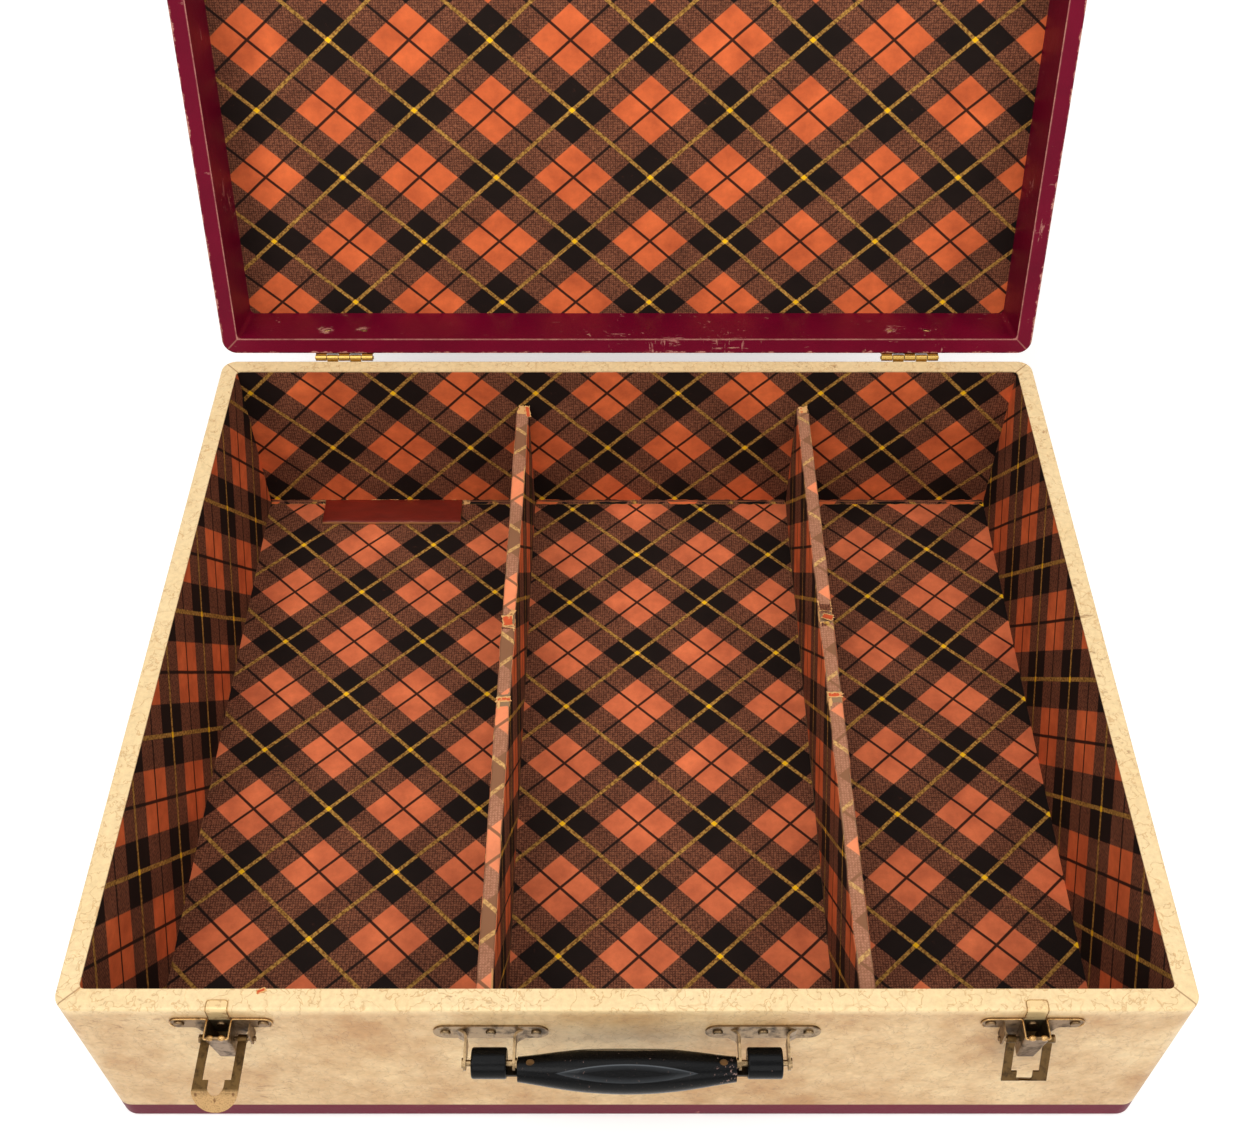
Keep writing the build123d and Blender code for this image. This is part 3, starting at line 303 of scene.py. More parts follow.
        # The sheet is pasted on by hand and lies in low swells, under the tooth of the paper
        swell = add("TexNoise", [flat, 14.0, 2.0])
        low = add("Bump", {"Height": swell, "Strength": 0.35, "Distance": 4 * MM})
        tooth = add("Bump", {"Height": rub, "Strength": 0.25, "Distance": 0.3 * MM, "Normal": low})
        return {"Base Color": colour, "Roughness": 0.78, "Specular IOR Level": 0.12, "Normal": tooth}


@dataclass(frozen=True)
class ParchmentCloth(Finish):
    """Pyroxylin-coated cloth printed as vellum: a pale yellow ground, fine brown veins, a satin coat."""

    name: str = "parchment_cloth"
    ground: str = "#EFD5A5"
    shade: str = "#E4C38B"
    vein: str = "#C08D50"
    # The stain colour darkens the walls, as stain and partly as painted shade
    stain_and_shade: str = "#B5854E"
    fleck: str = "#94683C"

    def paint(self, add: Add) -> Sockets:
        """Veins the ground of the walls and the rim, tans and marks it, and darkens the walls partly with
        painted shade.

        Args:
            add: Adds a node to the material.

        Returns:
            The shader's sockets, each with what feeds it.
        """
        place = place_of(add)
        cloud = add("TexNoise", [place, 22.0, 6.0, 0.6])
        bend = add("TexNoise", [place, 70.0, 3.0])
        bent = add("VectorMath", [bend.outputs["Color"], (0.012, 0.012, 0.012), place], "MULTIPLY_ADD")
        # Veins part the ground into cells about 11 mm across, as the skin's own do
        cells = add("TexVoronoi", [bent, 90.0], feature="DISTANCE_TO_EDGE")
        vein = add("MapRange", [cells, 0.0, 0.06, 0.30, 0.0])
        faint = add("MapRange", [add("TexNoise", [place, 60.0, 3.0]), 0.46, 0.66])
        veined = add("Math", [vein, faint], "MULTIPLY")

        # The walls are darker than the rim all over, partly painted shade of the upright faces and partly
        # tanning, and darker in blotches where hands and dust were
        across = add("SeparateXYZ", [place])
        low = add("MapRange", [across.outputs["Z"], 129 * MM, 124 * MM])
        soil = add("TexNoise", [place, 24.0, 8.0, 0.66])
        soiled = add("MapRange", [soil, 0.36, 0.67, 0.20, 0.95])
        stained = add("Math", [soiled, low], "MULTIPLY")

        # Short brown scuffs about 3 mm long lie along the walls
        drawn = add("Mapping", {"Vector": bent, "Scale": (0.35, 0.5, 1)})
        gather = add("TexNoise", [place, 13.0, 2.0])
        knocked = add("Math", [gather, 0.55, add("TexNoise", [drawn, 430.0, 4.0, 0.6])], "MULTIPLY_ADD")
        marked = add("MapRange", [knocked, 0.95, 1.05, 0.0, 0.7])

        # The cloth is folded at 45 degrees at each corner of the rim, and the fold has gathered dirt
        ends = add("SeparateXYZ", [add("VectorMath", [place], "ABSOLUTE")])
        gap = add("Math", [ends.outputs["X"], ends.outputs["Y"]], "SUBTRACT")
        wavy = add("Math", [bend, 0.002, gap], "MULTIPLY_ADD")
        past = add("Math", [wavy, HALF_WIDTH - HALF_DEPTH + 1 * MM], "SUBTRACT")
        fold = add("Math", [past], "ABSOLUTE")
        creased = add("MapRange", [fold, 0.15 * MM, 0.8 * MM, 0.85, 0.0])
        above = add("Math", [1.0, low], "SUBTRACT")
        shut_in = add("Math", [creased, above], "MULTIPLY")

        # The coat has crinkled, less on the walls than where it is folded over the rim
        crinkle = add("Math", [add("TexNoise", [bent, 95.0, 3.0, 0.55]), 0.5], "SUBTRACT")
        crack = add("MapRange", [add("Math", [crinkle], "ABSOLUTE"), 0.0, 0.016, 0.55, 0.0])
        browned = add("Mix", [low, self.vein, self.fleck], "RGBA")
        fainter = add("MapRange", [low, 0.0, 1.0, 1.0, 0.55])
        crazed = add("Math", [crack, fainter], "MULTIPLY")

        colour = add("Mix", [cloud, self.shade, self.ground], "RGBA")
        for shown, tint in ((veined, self.vein), (stained, self.stain_and_shade), (marked, self.fleck),
                            (shut_in, self.fleck), (crazed, browned)):
            colour = add("Mix", [shown, colour, tint], "RGBA")
        # It is mottled all over like skin
        mottle = add("MapRange", [add("TexNoise", [place, 300.0, 6.0, 0.7]), 0.30, 0.70, 0.86, 1.08])
        colour = add("HueSaturation", {"Value": mottle, "Color": colour})

        height = add("Math", [cloud, crack], "SUBTRACT")
        relief = add("Bump", {"Height": height, "Strength": 0.5, "Distance": 0.6 * MM})
        weave = add("TexNoise", [place, 900.0, 2.0])
        cloth = add("Bump", {"Height": weave, "Strength": 0.25, "Distance": 0.15 * MM, "Normal": relief})
        sheen = add("MapRange", [soil, 0.0, 1.0, 0.34, 0.58])
        return {"Base Color": colour, "Roughness": sheen, "Normal": cloth}


@dataclass(frozen=True)
class CoatedCloth(Finish):
    """Pyroxylin-coated book cloth in dark red: a fine pebble, a gloss coat, and pale cotton where worn."""

    ground: str
    shade: str
    edge_z: float
    on_lid: bool
    gloss: float
    worn: str = "#C98C7E"
    cotton: str = "#DCB48C"

    def paint(self, add: Add) -> Sockets:
        """Wears the cloth pale along its edges, at its nails and in scratches.

        Args:
            add: Adds a node to the material.

        Returns:
            The shader's sockets, each with what feeds it.
        """
        place = place_of(add, self.on_lid)
        cloud = add("TexNoise", [place, 26.0, 6.0, 0.6])
        ground = add("Mix", [cloud, self.shade, self.ground], "RGBA")

        # How far a point is from the outer walls, and from the edge that takes the knocks
        flat = add("VectorMath", [place], "ABSOLUTE")
        ends = add("SeparateXYZ", [flat])
        from_side = add("Math", [HALF_WIDTH, ends.outputs["X"]], "SUBTRACT")
        from_front = add("Math", [HALF_DEPTH, ends.outputs["Y"]], "SUBTRACT")
        inward = add("Math", [from_side, from_front], "MINIMUM")
        rise, ledge, gap = (
            add("Math", [add("Math", [far, start], "SUBTRACT")], "ABSOLUTE")
            for far, start in ((ends.outputs["Z"], self.edge_z), (inward, WALL), (from_side, from_front)))
        outer = add("Math", [inward, rise], "MAXIMUM")
        inner = add("Math", [ledge, rise], "MAXIMUM")
        near = add("MapRange", [outer, 0.2 * MM, 3.0 * MM, 0.30, 0.0])
        chip = add("TexNoise", [place, 150.0, 9.0, 0.72])
        mark = add("TexNoise", {"Vector": place, "Scale": 62.0, "Detail": 12.0, "Roughness": 0.8,
                                "Distortion": 0.6})
        bare = add("MapRange", [add("Math", [near, chip], "ADD"), 0.72, 0.78, 0.0, 0.8])
        knocks = add("Math", [near, 0.5, mark], "MULTIPLY_ADD")
        scuff = add("MapRange", [knocks, 0.67, 0.73, 0.0, 0.55])
        for x in (175.0, 199.0):
            # The cloth has burst round each clenched nail
            nail = add("VectorMath", [flat, Vector((x, NAIL_Y_MM, 145.5)) * MM], "DISTANCE")
            burst = add("MapRange", [nail, 1.5 * MM, 9 * MM, 0.22, 0.0])
            torn = add("Math", [burst, mark], "ADD")
            shown = add("MapRange", [torn, 0.64, 0.70, 0.0, 0.6])
            scuff = add("Math", [scuff, shown], "MAXIMUM")
        # Scratches lie along the boards in patches, where the case has been slid and stacked
        patch = add("TexNoise", [place, 20.0, 2.0])
        for stretch in ((0.2, 1.0, 1.0), (1.0, 0.2, 1.0)):
            drawn = add("Mapping", {"Vector": place, "Scale": stretch})
            scratch = add("TexNoise", [drawn, 260.0, 6.0, 0.7])
            gathered = add("Math", [patch, 0.6, scratch], "MULTIPLY_ADD")
            shown = add("MapRange", [gathered, 1.0, 1.06, 0.0, 0.6])
            scuff = add("Math", [scuff, shown], "MAXIMUM")
        # A thin rubbed line runs all along the inner edge, where the rim's cloth turns in
        line = add("MapRange", [inner, 0.25 * MM, 0.9 * MM, 1.0, 0.0])
        broken = add("MapRange", [chip, 0.35, 0.6, 0.25, 0.75])
        rubbed = add("Math", [line, broken], "MULTIPLY")
        # The mitred folds at the rim's corners are rubbed through to the cotton
        fold = add("MapRange", [gap, 0.2 * MM, 0.9 * MM, 0.6, 0.0])
        on_rim = add("Math", [outer, WALL], "LESS_THAN")
        rubs = add("Math", [on_rim, chip], "MULTIPLY")
        folded = add("Math", [fold, rubs], "MULTIPLY")
        wear = add("Math", [bare, scuff], "MAXIMUM")
        for shown in (rubbed, folded):
            wear = add("Math", [wear, shown], "MAXIMUM")
        thread = add("MapRange", [mark, 0.5, 0.72])
        bared = add("Mix", [thread, self.worn, self.cotton], "RGBA")
        colour = add("Mix", [wear, ground, bared], "RGBA")

        # Pebble of about 0.9 mm, drawn at twice the real size so that it shows
        pebble = add("TexVoronoi", [place, 1 / (0.9 * MM)])
        grain = add("Bump", {"Height": pebble, "Strength": 0.22, "Distance": 0.2 * MM})
        dent = add("Bump", {"Height": cloud, "Strength": 0.4, "Distance": 1.5 * MM, "Normal": grain})
        dull = add("MapRange", [wear, 0.0, 1.0, 0.38, 0.75])
        return {"Base Color": colour, "Roughness": dull, "Specular IOR Level": self.gloss, "Normal": dent}


@dataclass(frozen=True)
class AgedMetal(Finish):
    """Stamped sheet or drawn wire, polished or tarnished: bright where it rubs, and on the loops' ends
    partly a painted highlight, brown in the hollows.
    """

    bright: str
    dark: str
    tarnish: float
    roughness: float
    metallic: float = 1.0
    lit_and_rubbed_beyond: float = 0.0
    painted_shade_below: float = 0.0
    rubbed: str = "#BC9768"
    sunk: str = "#5A3320"
    painted_shade: str = "#15100B"
    dimple_x: float = 190.0 * MM
    dimples: tuple[tuple[float, float], ...] = ((8.7, 256.6), (-8.7, 256.6), (0.0, 258.4))

    def paint(self, add: Add) -> Sockets:
        """Tarnishes the metal and, where its fields say so, pales its end partly as a painted highlight or
        paints shade below a height.

        Args:
            add: Adds a node to the material.

        Returns:
            The shader's sockets, each with what feeds it.
        """
        place = place_of(add)
        cloud = add("TexNoise", [place, 210.0, 8.0, 0.68])
        least, most = 0.66 - 0.34 * self.tarnish, 0.80 - 0.24 * self.tarnish
        covered = add("MapRange", [cloud, least, most, 0.0, 0.92])
        colour = add("Mix", [covered, self.bright, self.dark], "RGBA")
        ends = add("SeparateXYZ", [add("VectorMath", [place], "ABSOLUTE")])
        if self.lit_and_rubbed_beyond:
            # The end that fingers pull is paler, partly rubbed free of tarnish and partly a painted
            # highlight where the bent end faces the light, but for flecks and three stamped dimples
            start = self.lit_and_rubbed_beyond
            lit_and_rubbed_end = add("MapRange", [ends.outputs["Y"], start - MM, start + 2 * MM])
            fleck = add("TexNoise", [place, 1500.0, 4.0])
            kept = add("MapRange", [fleck, 0.48, 0.72, 1.0, 0.45])
            bare = add("Math", [lit_and_rubbed_end, kept], "MULTIPLY")
            colour = add("Mix", [bare, colour, self.rubbed], "RGBA")
            level = add("CombineXYZ", [ends.outputs["X"], ends.outputs["Y"]])
            for x, y in self.dimples:
                middle = (self.dimple_x + x * MM, y * MM, 0.0)
                gap = add("VectorMath", [level, middle], "DISTANCE")
                sunk = add("MapRange", [gap, 0.3 * MM, 0.9 * MM, 0.7, 0.0])
                colour = add("Mix", [sunk, colour, self.sunk], "RGBA")
        if self.painted_shade_below:
            # Below this height, inside the pocket, the metal is painted near black as painted shade
            start = self.painted_shade_below
            inside = add("MapRange", [ends.outputs["Z"], start, start + MM, 0.93, 0.0])
            colour = add("Mix", [inside, colour, self.painted_shade], "RGBA")
        drawn = add("Mapping", {"Vector": place, "Scale": (700.0, 700.0, 5000.0)})
        lines = add("TexNoise", [drawn, 1.0])
        worked = add("Bump", {"Height": lines, "Strength": 0.15, "Distance": 0.1 * MM})
        pitted = add("Bump", {"Height": cloud, "Strength": 0.3, "Distance": 0.2 * MM, "Normal": worked})
        rough = add("MapRange", [covered, 0.0, 1.0, self.roughness, self.roughness + 0.22])
        return {"Base Color": colour, "Metallic": self.metallic, "Roughness": rough, "Normal": pitted}


@dataclass(frozen=True)
class BlackPlastic(Finish):
    """Moulded cellulose acetate, black: a deep gloss, hair scratches, and pale chips at its ends."""

    name: str = "black_moulding"
    ground: str = "#050506"
    chip: str = "#9A7A70"
    # sheen is the colour of the painted highlight on the grip's flat
    sheen: str = "#5C6064"
    # The grip's flat: its normal, the way up along it, both planes' distances, and its half size
    flat_normal: Triple = (0.0, -0.5, 0.8660254)
    flat_upward: Triple = (0.0, 0.8660254, 0.5)
    flat_distance: float = 0.0
    flat_middle: float = -160.06 * MM
    flat_half_length: float = 32.0 * MM
    flat_half_height: float = 4.0 * MM

    def paint(self, add: Add) -> Sockets:
        """Scratches and chips the plastic, and paints a highlight along the edge of the grip's flat and a
        fainter one inside it.

        Args:
            add: Adds a node to the material.

        Returns:
            The shader's sockets, each with what feeds it.
        """
        place = place_of(add)
        fleck = add("TexNoise", [place, 480.0, 4.0, 0.7])
        chipped = add("MapRange", [fleck, 0.70, 0.76, 0.0, 0.8])
        colour = add("Mix", [chipped, self.ground, self.chip], "RGBA")
        if self.flat_distance:
            # The flat is a pointed lens with a painted highlight: a pale line along its edge, stronger
            # above than below, and a faint painted sheen just inside it
            split = add("SeparateXYZ", [place])
            planes = ((self.flat_normal, self.flat_distance), (self.flat_upward, self.flat_middle))
            height, rise = (
                add("Math", [add("VectorMath", [place, way], "DOT_PRODUCT"), start], "SUBTRACT")
                for way, start in planes)
            facing = add("Math", [height, -3 * MM], "GREATER_THAN")
            square = add("Math", [split.outputs["X"], split.outputs["X"]], "MULTIPLY")
            narrowing = -self.flat_half_height / self.flat_half_length ** 2
            reach = add("Math", [square, narrowing, self.flat_half_height], "MULTIPLY_ADD")
            outside = add("Math", [add("Math", [rise], "ABSOLUTE"), reach], "SUBTRACT")
            off_line = add("Math", [outside], "ABSOLUTE")
            line = add("MapRange", [off_line, 0.10 * MM, 0.45 * MM, 1.0, 0.0])
            lit = add("MapRange", [rise, -1 * MM, 3 * MM, 0.25, 0.75])
            edge = add("Math", [line, lit], "MULTIPLY")
            inside = add("MapRange", [outside, -2.5 * MM, 0.0, 0.0, 0.22])
            within = add("Math", [outside, 0.0], "LESS_THAN")
            glow = add("Math", [inside, within], "MULTIPLY")
            pale = add("Math", [edge, glow], "MAXIMUM")
            painted_highlight = add("Math", [pale, facing], "MULTIPLY")
            end = add("MapRange", [split.outputs["X"], 38 * MM, 50 * MM, 0.0, 0.11])
            knocked = add("MapRange", [add("Math", [end, fleck], "ADD"), 0.66, 0.72, 0.0, 0.75])
            for shown, tint in ((painted_highlight, self.sheen), (knocked, self.chip)):
                colour = add("Mix", [shown, colour, tint], "RGBA")
        drawn = add("Mapping", {"Vector": place, "Scale": (60.0, 900.0, 900.0)})
        hair = add("TexNoise", {"Vector": drawn, "Detail": 4.0})
        rough = add("MapRange", [hair, 0.35, 0.7, 0.16, 0.34])
        worn = add("Bump", {"Height": hair, "Strength": 0.08, "Distance": 0.2 * MM})
        return {"Base Color": colour, "Roughness": rough, "IOR": 1.48, "Specular IOR Level": 0.10,
                "Normal": worn}


@dataclass(frozen=True)
class SawnBoard(Finish):
    """Sawn poplar or pasteboard, unpainted: straight grain, no gloss."""

    name: str = "pasteboard"
    early: str = "#9C7A55"
    late: str = "#7A5C3E"

    def paint(self, add: Add) -> Sockets:
        """Draws the grain along the board.

        Args:
            add: Adds a node to the material.

        Returns:
            The shader's sockets, each with what feeds it.
        """
        along = add("Mapping", {"Vector": place_of(add), "Scale": (6.0, 160.0, 160.0)})
        grain = add("TexNoise", {"Vector": along, "Scale": 1.0, "Detail": 6.0, "Distortion": 0.4})
        colour = add("Mix", [grain, self.early, self.late], "RGBA")
        relief = add("Bump", {"Height": grain, "Strength": 0.3, "Distance": 0.3 * MM})
        return {"Base Color": colour, "Roughness": 0.8, "Normal": relief}


@dataclass(frozen=True)
class RedCard(Finish):
    """Millboard painted dark red: a burnished top, scraped brown, and a raw tan edge."""

    name: str = "red_card"
    ground: str = "#892210"
    shade: str = "#4E160C"
    raw: str = "#B0764A"

    def paint(self, add: Add) -> Sockets:
        """Scrapes the card's top along its length, and bares its edge.

        Args:
            add: Adds a node to the material.

        Returns:
            The shader's sockets, each with what feeds it.
        """
        where = add("TexCoord")
        along = add("Mapping", {"Vector": where.outputs["Object"], "Scale": (0.25, 1.0, 1.0)})
        scrape = add("TexNoise", [along, 240.0, 8.0, 0.7])
        colour = add("Mix", [scrape, self.shade, self.ground], "RGBA")
        normal = add("SeparateXYZ", [where.outputs["Normal"]])
        level = add("Math", [normal.outputs["Z"]], "ABSOLUTE")
        ragged = add("Math", [scrape, 0.8, level], "MULTIPLY_ADD")
        edge = add("MapRange", [ragged, 0.95, 1.15, 1.0, 0.0])
        colour = add("Mix", [edge, colour, self.raw], "RGBA")
        relief = add("Bump", {"Height": scrape, "Strength": 0.5, "Distance": 0.4 * MM})
        return {"Base Color": colour, "Roughness": 0.42, "Normal": relief}


@dataclass(frozen=True)
class WhitePaper(Finish):
    """The floor's wide sheet of white paper, seen lifted to white, which keeps the case's shadow."""

    name: str = "white_paper_floor"

    def paint(self, add: Add) -> Sockets:
        """Lifts the paper where it is seen.

        Args:
            add: Adds a node to the material.

        Returns:
            The shader's sockets, each with what feeds it.
        """
        lift = add("MapRange", [seen_at_once(add), 0.0, 1.0, 0.0, 0.30])
        return {"Base Color": "#F7F6F4", "Roughness": 0.85, "Specular IOR Level": 0.2,
                "Emission Color": "#FFFFFF", "Emission Strength": lift}


def make_finishes() -> dict[str, Material]:
    """Makes every finish of the case once.

    Returns:
        The materials by their names.
    """
    floor = partial(TartanPaper, plane=Bay.LEVEL, orange="#E67D4C", red="#CE6342")
    wanted = (
        TartanPaper("paper_lid", Bay.LEVEL, (99.5, 86.0), (-34.7, -7.6), on_lid=True),
        TartanPaper("paper_facing", Bay.FACING, (95.0, 101.5), (34.1, 9.2)),
        TartanPaper("paper_left", Bay.SIDE, (87.5, 116.5), (0.4, 29.7)),
        TartanPaper("paper_right", Bay.SIDE, (87.0, 116.0), (-6.9, -25.2)),
        floor("paper_floor_left", period=(91.0, 86.0), dot=(0.8, -41.0)),
        floor("paper_floor_middle", period=(91.5, 86.5), dot=(6.8, -8.1)),
        floor("paper_floor_right", period=(91.5, 86.0), dot=(26.7, -1.9)),
        TartanPaper("paper_wrap", Bay.SIDE, (87.0, 100.0), (10.0, 40.0), wrapped=True),
        ParchmentCloth(),
        CoatedCloth("red_cloth_lid", "#7A0729", "#5A041D", LID_RIM_Z, on_lid=True, gloss=0.10),
        CoatedCloth("red_cloth_base", "#741631", "#561024", 0.5 * MM, on_lid=False, gloss=0.05),
        AgedMetal("brass_stamped", "#7D6447", "#38281A", 0.55, 0.40),
        AgedMetal("brass_tab", "#DDBE88", "#95592F", 0.36, 0.40, metallic=0.3, painted_shade_below=120.5 * MM),
        AgedMetal("brass_loop", "#5E4729", "#2F2214", 0.55, 0.38, lit_and_rubbed_beyond=255.2 * MM),
        AgedMetal("brass_polished", "#AE8C4A", "#4E3416", 0.34, 0.22),
        AgedMetal("brass_edge", "#B08A58", "#5A4024", 0.48, 0.26),
        AgedMetal("brass_silvered", "#8A7354", "#3C2D1E", 0.55, 0.30),
        AgedMetal("steel_dark", "#3C3731", "#1C1815", 0.50, 0.34),
        BlackPlastic(),
        BlackPlastic("black_grip", flat_distance=217.364 * MM),
        SawnBoard(),
        RedCard(),
        WhitePaper(),
    )
    return {finish.name: finish.build() for finish in wanted}


def pick(piece: Object) -> None:
    """Makes one piece the only selected and active one.

    Args:
        piece: The piece.
    """
    bpy.ops.object.select_all(action="DESELECT")
    piece.select_set(True)
    bpy.context.view_layer.objects.active = piece


def begin(operator: Callable[..., set[str]], **options: Any) -> Object:
    """Adds one of Blender's own shapes with nothing else selected.

    Args:
        operator: The operator that adds it.
        options: The operator's options.

    Returns:
        The new object.
    """
    bpy.ops.object.select_all(action="DESELECT")
    operator(**options)
    return bpy.context.object


def settle(piece: Object, name: str) -> Object:
    """Names a piece and puts its place into its mesh.

    Args:
        piece: The new piece.
        name: Its name.

    Returns:
        The piece, with its object at the origin.
    """
    pick(piece)
    bpy.ops.object.transform_apply(location=True, rotation=True, scale=True)
    piece.name = piece.data.name = name
    return piece


def modify(piece: Object, kind: str, **settings: Any) -> None:
    """Applies one modifier to a piece.

    Args:
        piece: The piece.
        kind: Blender's name of the modifier's type.
        settings: Properties of the modifier.
    """
    pick(piece)
    made = piece.modifiers.new(kind, kind)
    for name, value in settings.items():
        setattr(made, name, value)
    bpy.ops.object.modifier_apply(modifier=made.name)


def paint_points(piece: Object, name: str, values: list[float]) -> None:
    """Writes a value for each point of a piece, for its material to read."""
    piece.data.attributes.new(name, "FLOAT", "POINT").data.foreach_set("value", values)


def cut_box(name: str, low: Vector, high: Vector, slices: dict[int, int], radius: float,
            segments: int) -> Object:
    """Makes a box of even slices with rounded edges.

    Args:
        name: Its name.
        low: Its lowest corner.
        high: Its highest corner.
        slices: How many slices it is cut into across each axis that is named.
        radius: Radius of its edges.
        segments: Number of segments round an edge.

    Returns:
        The box.
    """
    box = begin(bpy.ops.mesh.primitive_cube_add, size=1.0, location=(low + high) / 2)
    box.scale = high - low
    settle(box, name)
    bpy.ops.object.mode_set(mode="EDIT")
    for axis, count in slices.items():
        for number in range(1, count):
            bpy.ops.mesh.select_all(action="SELECT")
            bpy.ops.mesh.bisect(plane_co=low.lerp(high, number / count),
                                plane_no=[float(axis == other) for other in range(3)])
    bpy.ops.object.mode_set(mode="OBJECT")
    modify(box, "BEVEL", width=radius, segments=segments, limit_method="ANGLE")
    return box


def add_ball(name: str, radius: float, place: Vector, stretch: Triple, faces: tuple[int, int] = (20, 12),
             turn: float = 0.0) -> Object:
    """Adds a stretched ball.

    Args:
        name: Its name.
        radius: Its radius before it is stretched.
        place: Its middle.
        stretch: Its scale along each axis.
        faces: How many faces it has round its waist and from pole to pole.
        turn: Its turn about the Y axis, in radians.

    Returns:
        The ball.
    """
    segments, rings = faces
    ball = begin(bpy.ops.mesh.primitive_uv_sphere_add, segments=segments, ring_count=rings, radius=radius)
    ball.scale = stretch
    ball.rotation_euler.y = turn
    ball.location = place
    settle(ball, name)
    bpy.ops.object.shade_smooth()
    return ball


def sweep_bead(name: str, route: list[Vector], radius: float) -> Object:
    """Sweeps a round bead along a route, whose corners it rounds off.

    Args:
        name: Name of the bead.
        route: Control points of its line.
        radius: Radius of its section.

    Returns:
        The bead as a closed mesh.
    """
    bead = begin(bpy.ops.curve.primitive_nurbs_path_add)
    bead.data.splines.clear()
    line = bead.data.splines.new("NURBS")
    line.points.add(len(route) - 1)
    for point, place in zip(line.points, route):
        point.co = (*place, 1.0)
    line.order_u = 3
    line.use_endpoint_u = True
    bead.data.dimensions = "3D"
    bead.data.bevel_depth = radius
    bead.data.bevel_resolution = 3
    bead.data.use_fill_caps = True
    pick(bead)
    bpy.ops.object.convert(target="MESH")
    bead = settle(bpy.context.object, name)
    bpy.ops.object.shade_smooth()
    return bead


@dataclass
class SubAssembly:
    """A part of the case: which of its nodes wear which finish, and the pieces that it adds to them."""

    finishes: dict[str, Material]
    looks: ClassVar[dict[str, tuple[str, ...]]] = {}

    def build(self) -> None:
        """Dresses the nodes of its table. A name that is no node's is that of a left and a right one."""
        for finish, names in self.looks.items():
            for name in names:
                pair = [f"{name}_{side.value}" for side in Side]
                for node in [name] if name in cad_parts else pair:
                    self.dress(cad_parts[node], finish)
                    LOG.info("%s wears %s", node, finish)

    def dress(self, piece: Object, finish: str) -> None:
        """Gives a piece or a node of the model one finish.

        Args:
            piece: Object to dress.
            finish: Name of the finish.
        """
        slots = piece.data.materials
        if not len(slots):
            slots.append(self.finishes[finish])
        for number in range(len(slots)):
            slots[number] = self.finishes[finish]

    def fit(self, piece: Object, finish: str, slot: str, body: str = "base",
            replaced: str = "") -> None:
        """Dresses a piece that isn't in the model and says where it belongs.

        Args:
            piece: The piece.
            finish: Name of its finish.
            slot: A material slot's name; not used.
            body: The body that it moves with.
            replaced: The node that it stands for, if it stands for one.
        """
        self.dress(piece, finish)
        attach(piece, body)
        if replaced:
            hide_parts(replaced)
        LOG.info("added %s", piece.name)

    def fit_paper(self, piece: Object, name: str, torn: list[float]) -> None:
        """Settles and fits a piece of the dividers' paper.

        Args:
            piece: The piece.
            name: Its name.
            torn: How far the paper is torn at each point.
        """
        settle(piece, name)
        bpy.ops.object.shade_smooth()
        paint_points(piece, "torn", torn)
        self.fit(piece, "paper_wrap", "divider_paper")


@dataclass
class Carcass(SubAssembly):
    """Boards, covers and the band of the base and the lid."""

    looks = {"parchment_cloth": ("base_cover",), "red_cloth_lid": ("lid_cover",),
             "red_cloth_base": ("bottom_band", "bottom_sheet"),
             "pasteboard": (*(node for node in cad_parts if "board" in node), "lid_panel")}


@dataclass
class Linings(SubAssembly):
    """The printed paper on the walls, the floor and the inside of the lid, each node with its own sheet."""

    looks = {"paper_facing": ("lining_front", "lining_back"), "paper_left": ("lining_left",),
             "paper_right": ("lining_right",), "paper_floor_left": ("floor_lining_left",),
             "paper_floor_middle": ("floor_lining_middle",), "paper_floor_right": ("floor_lining_right",),
             "paper_lid": ("lid_lining",)}


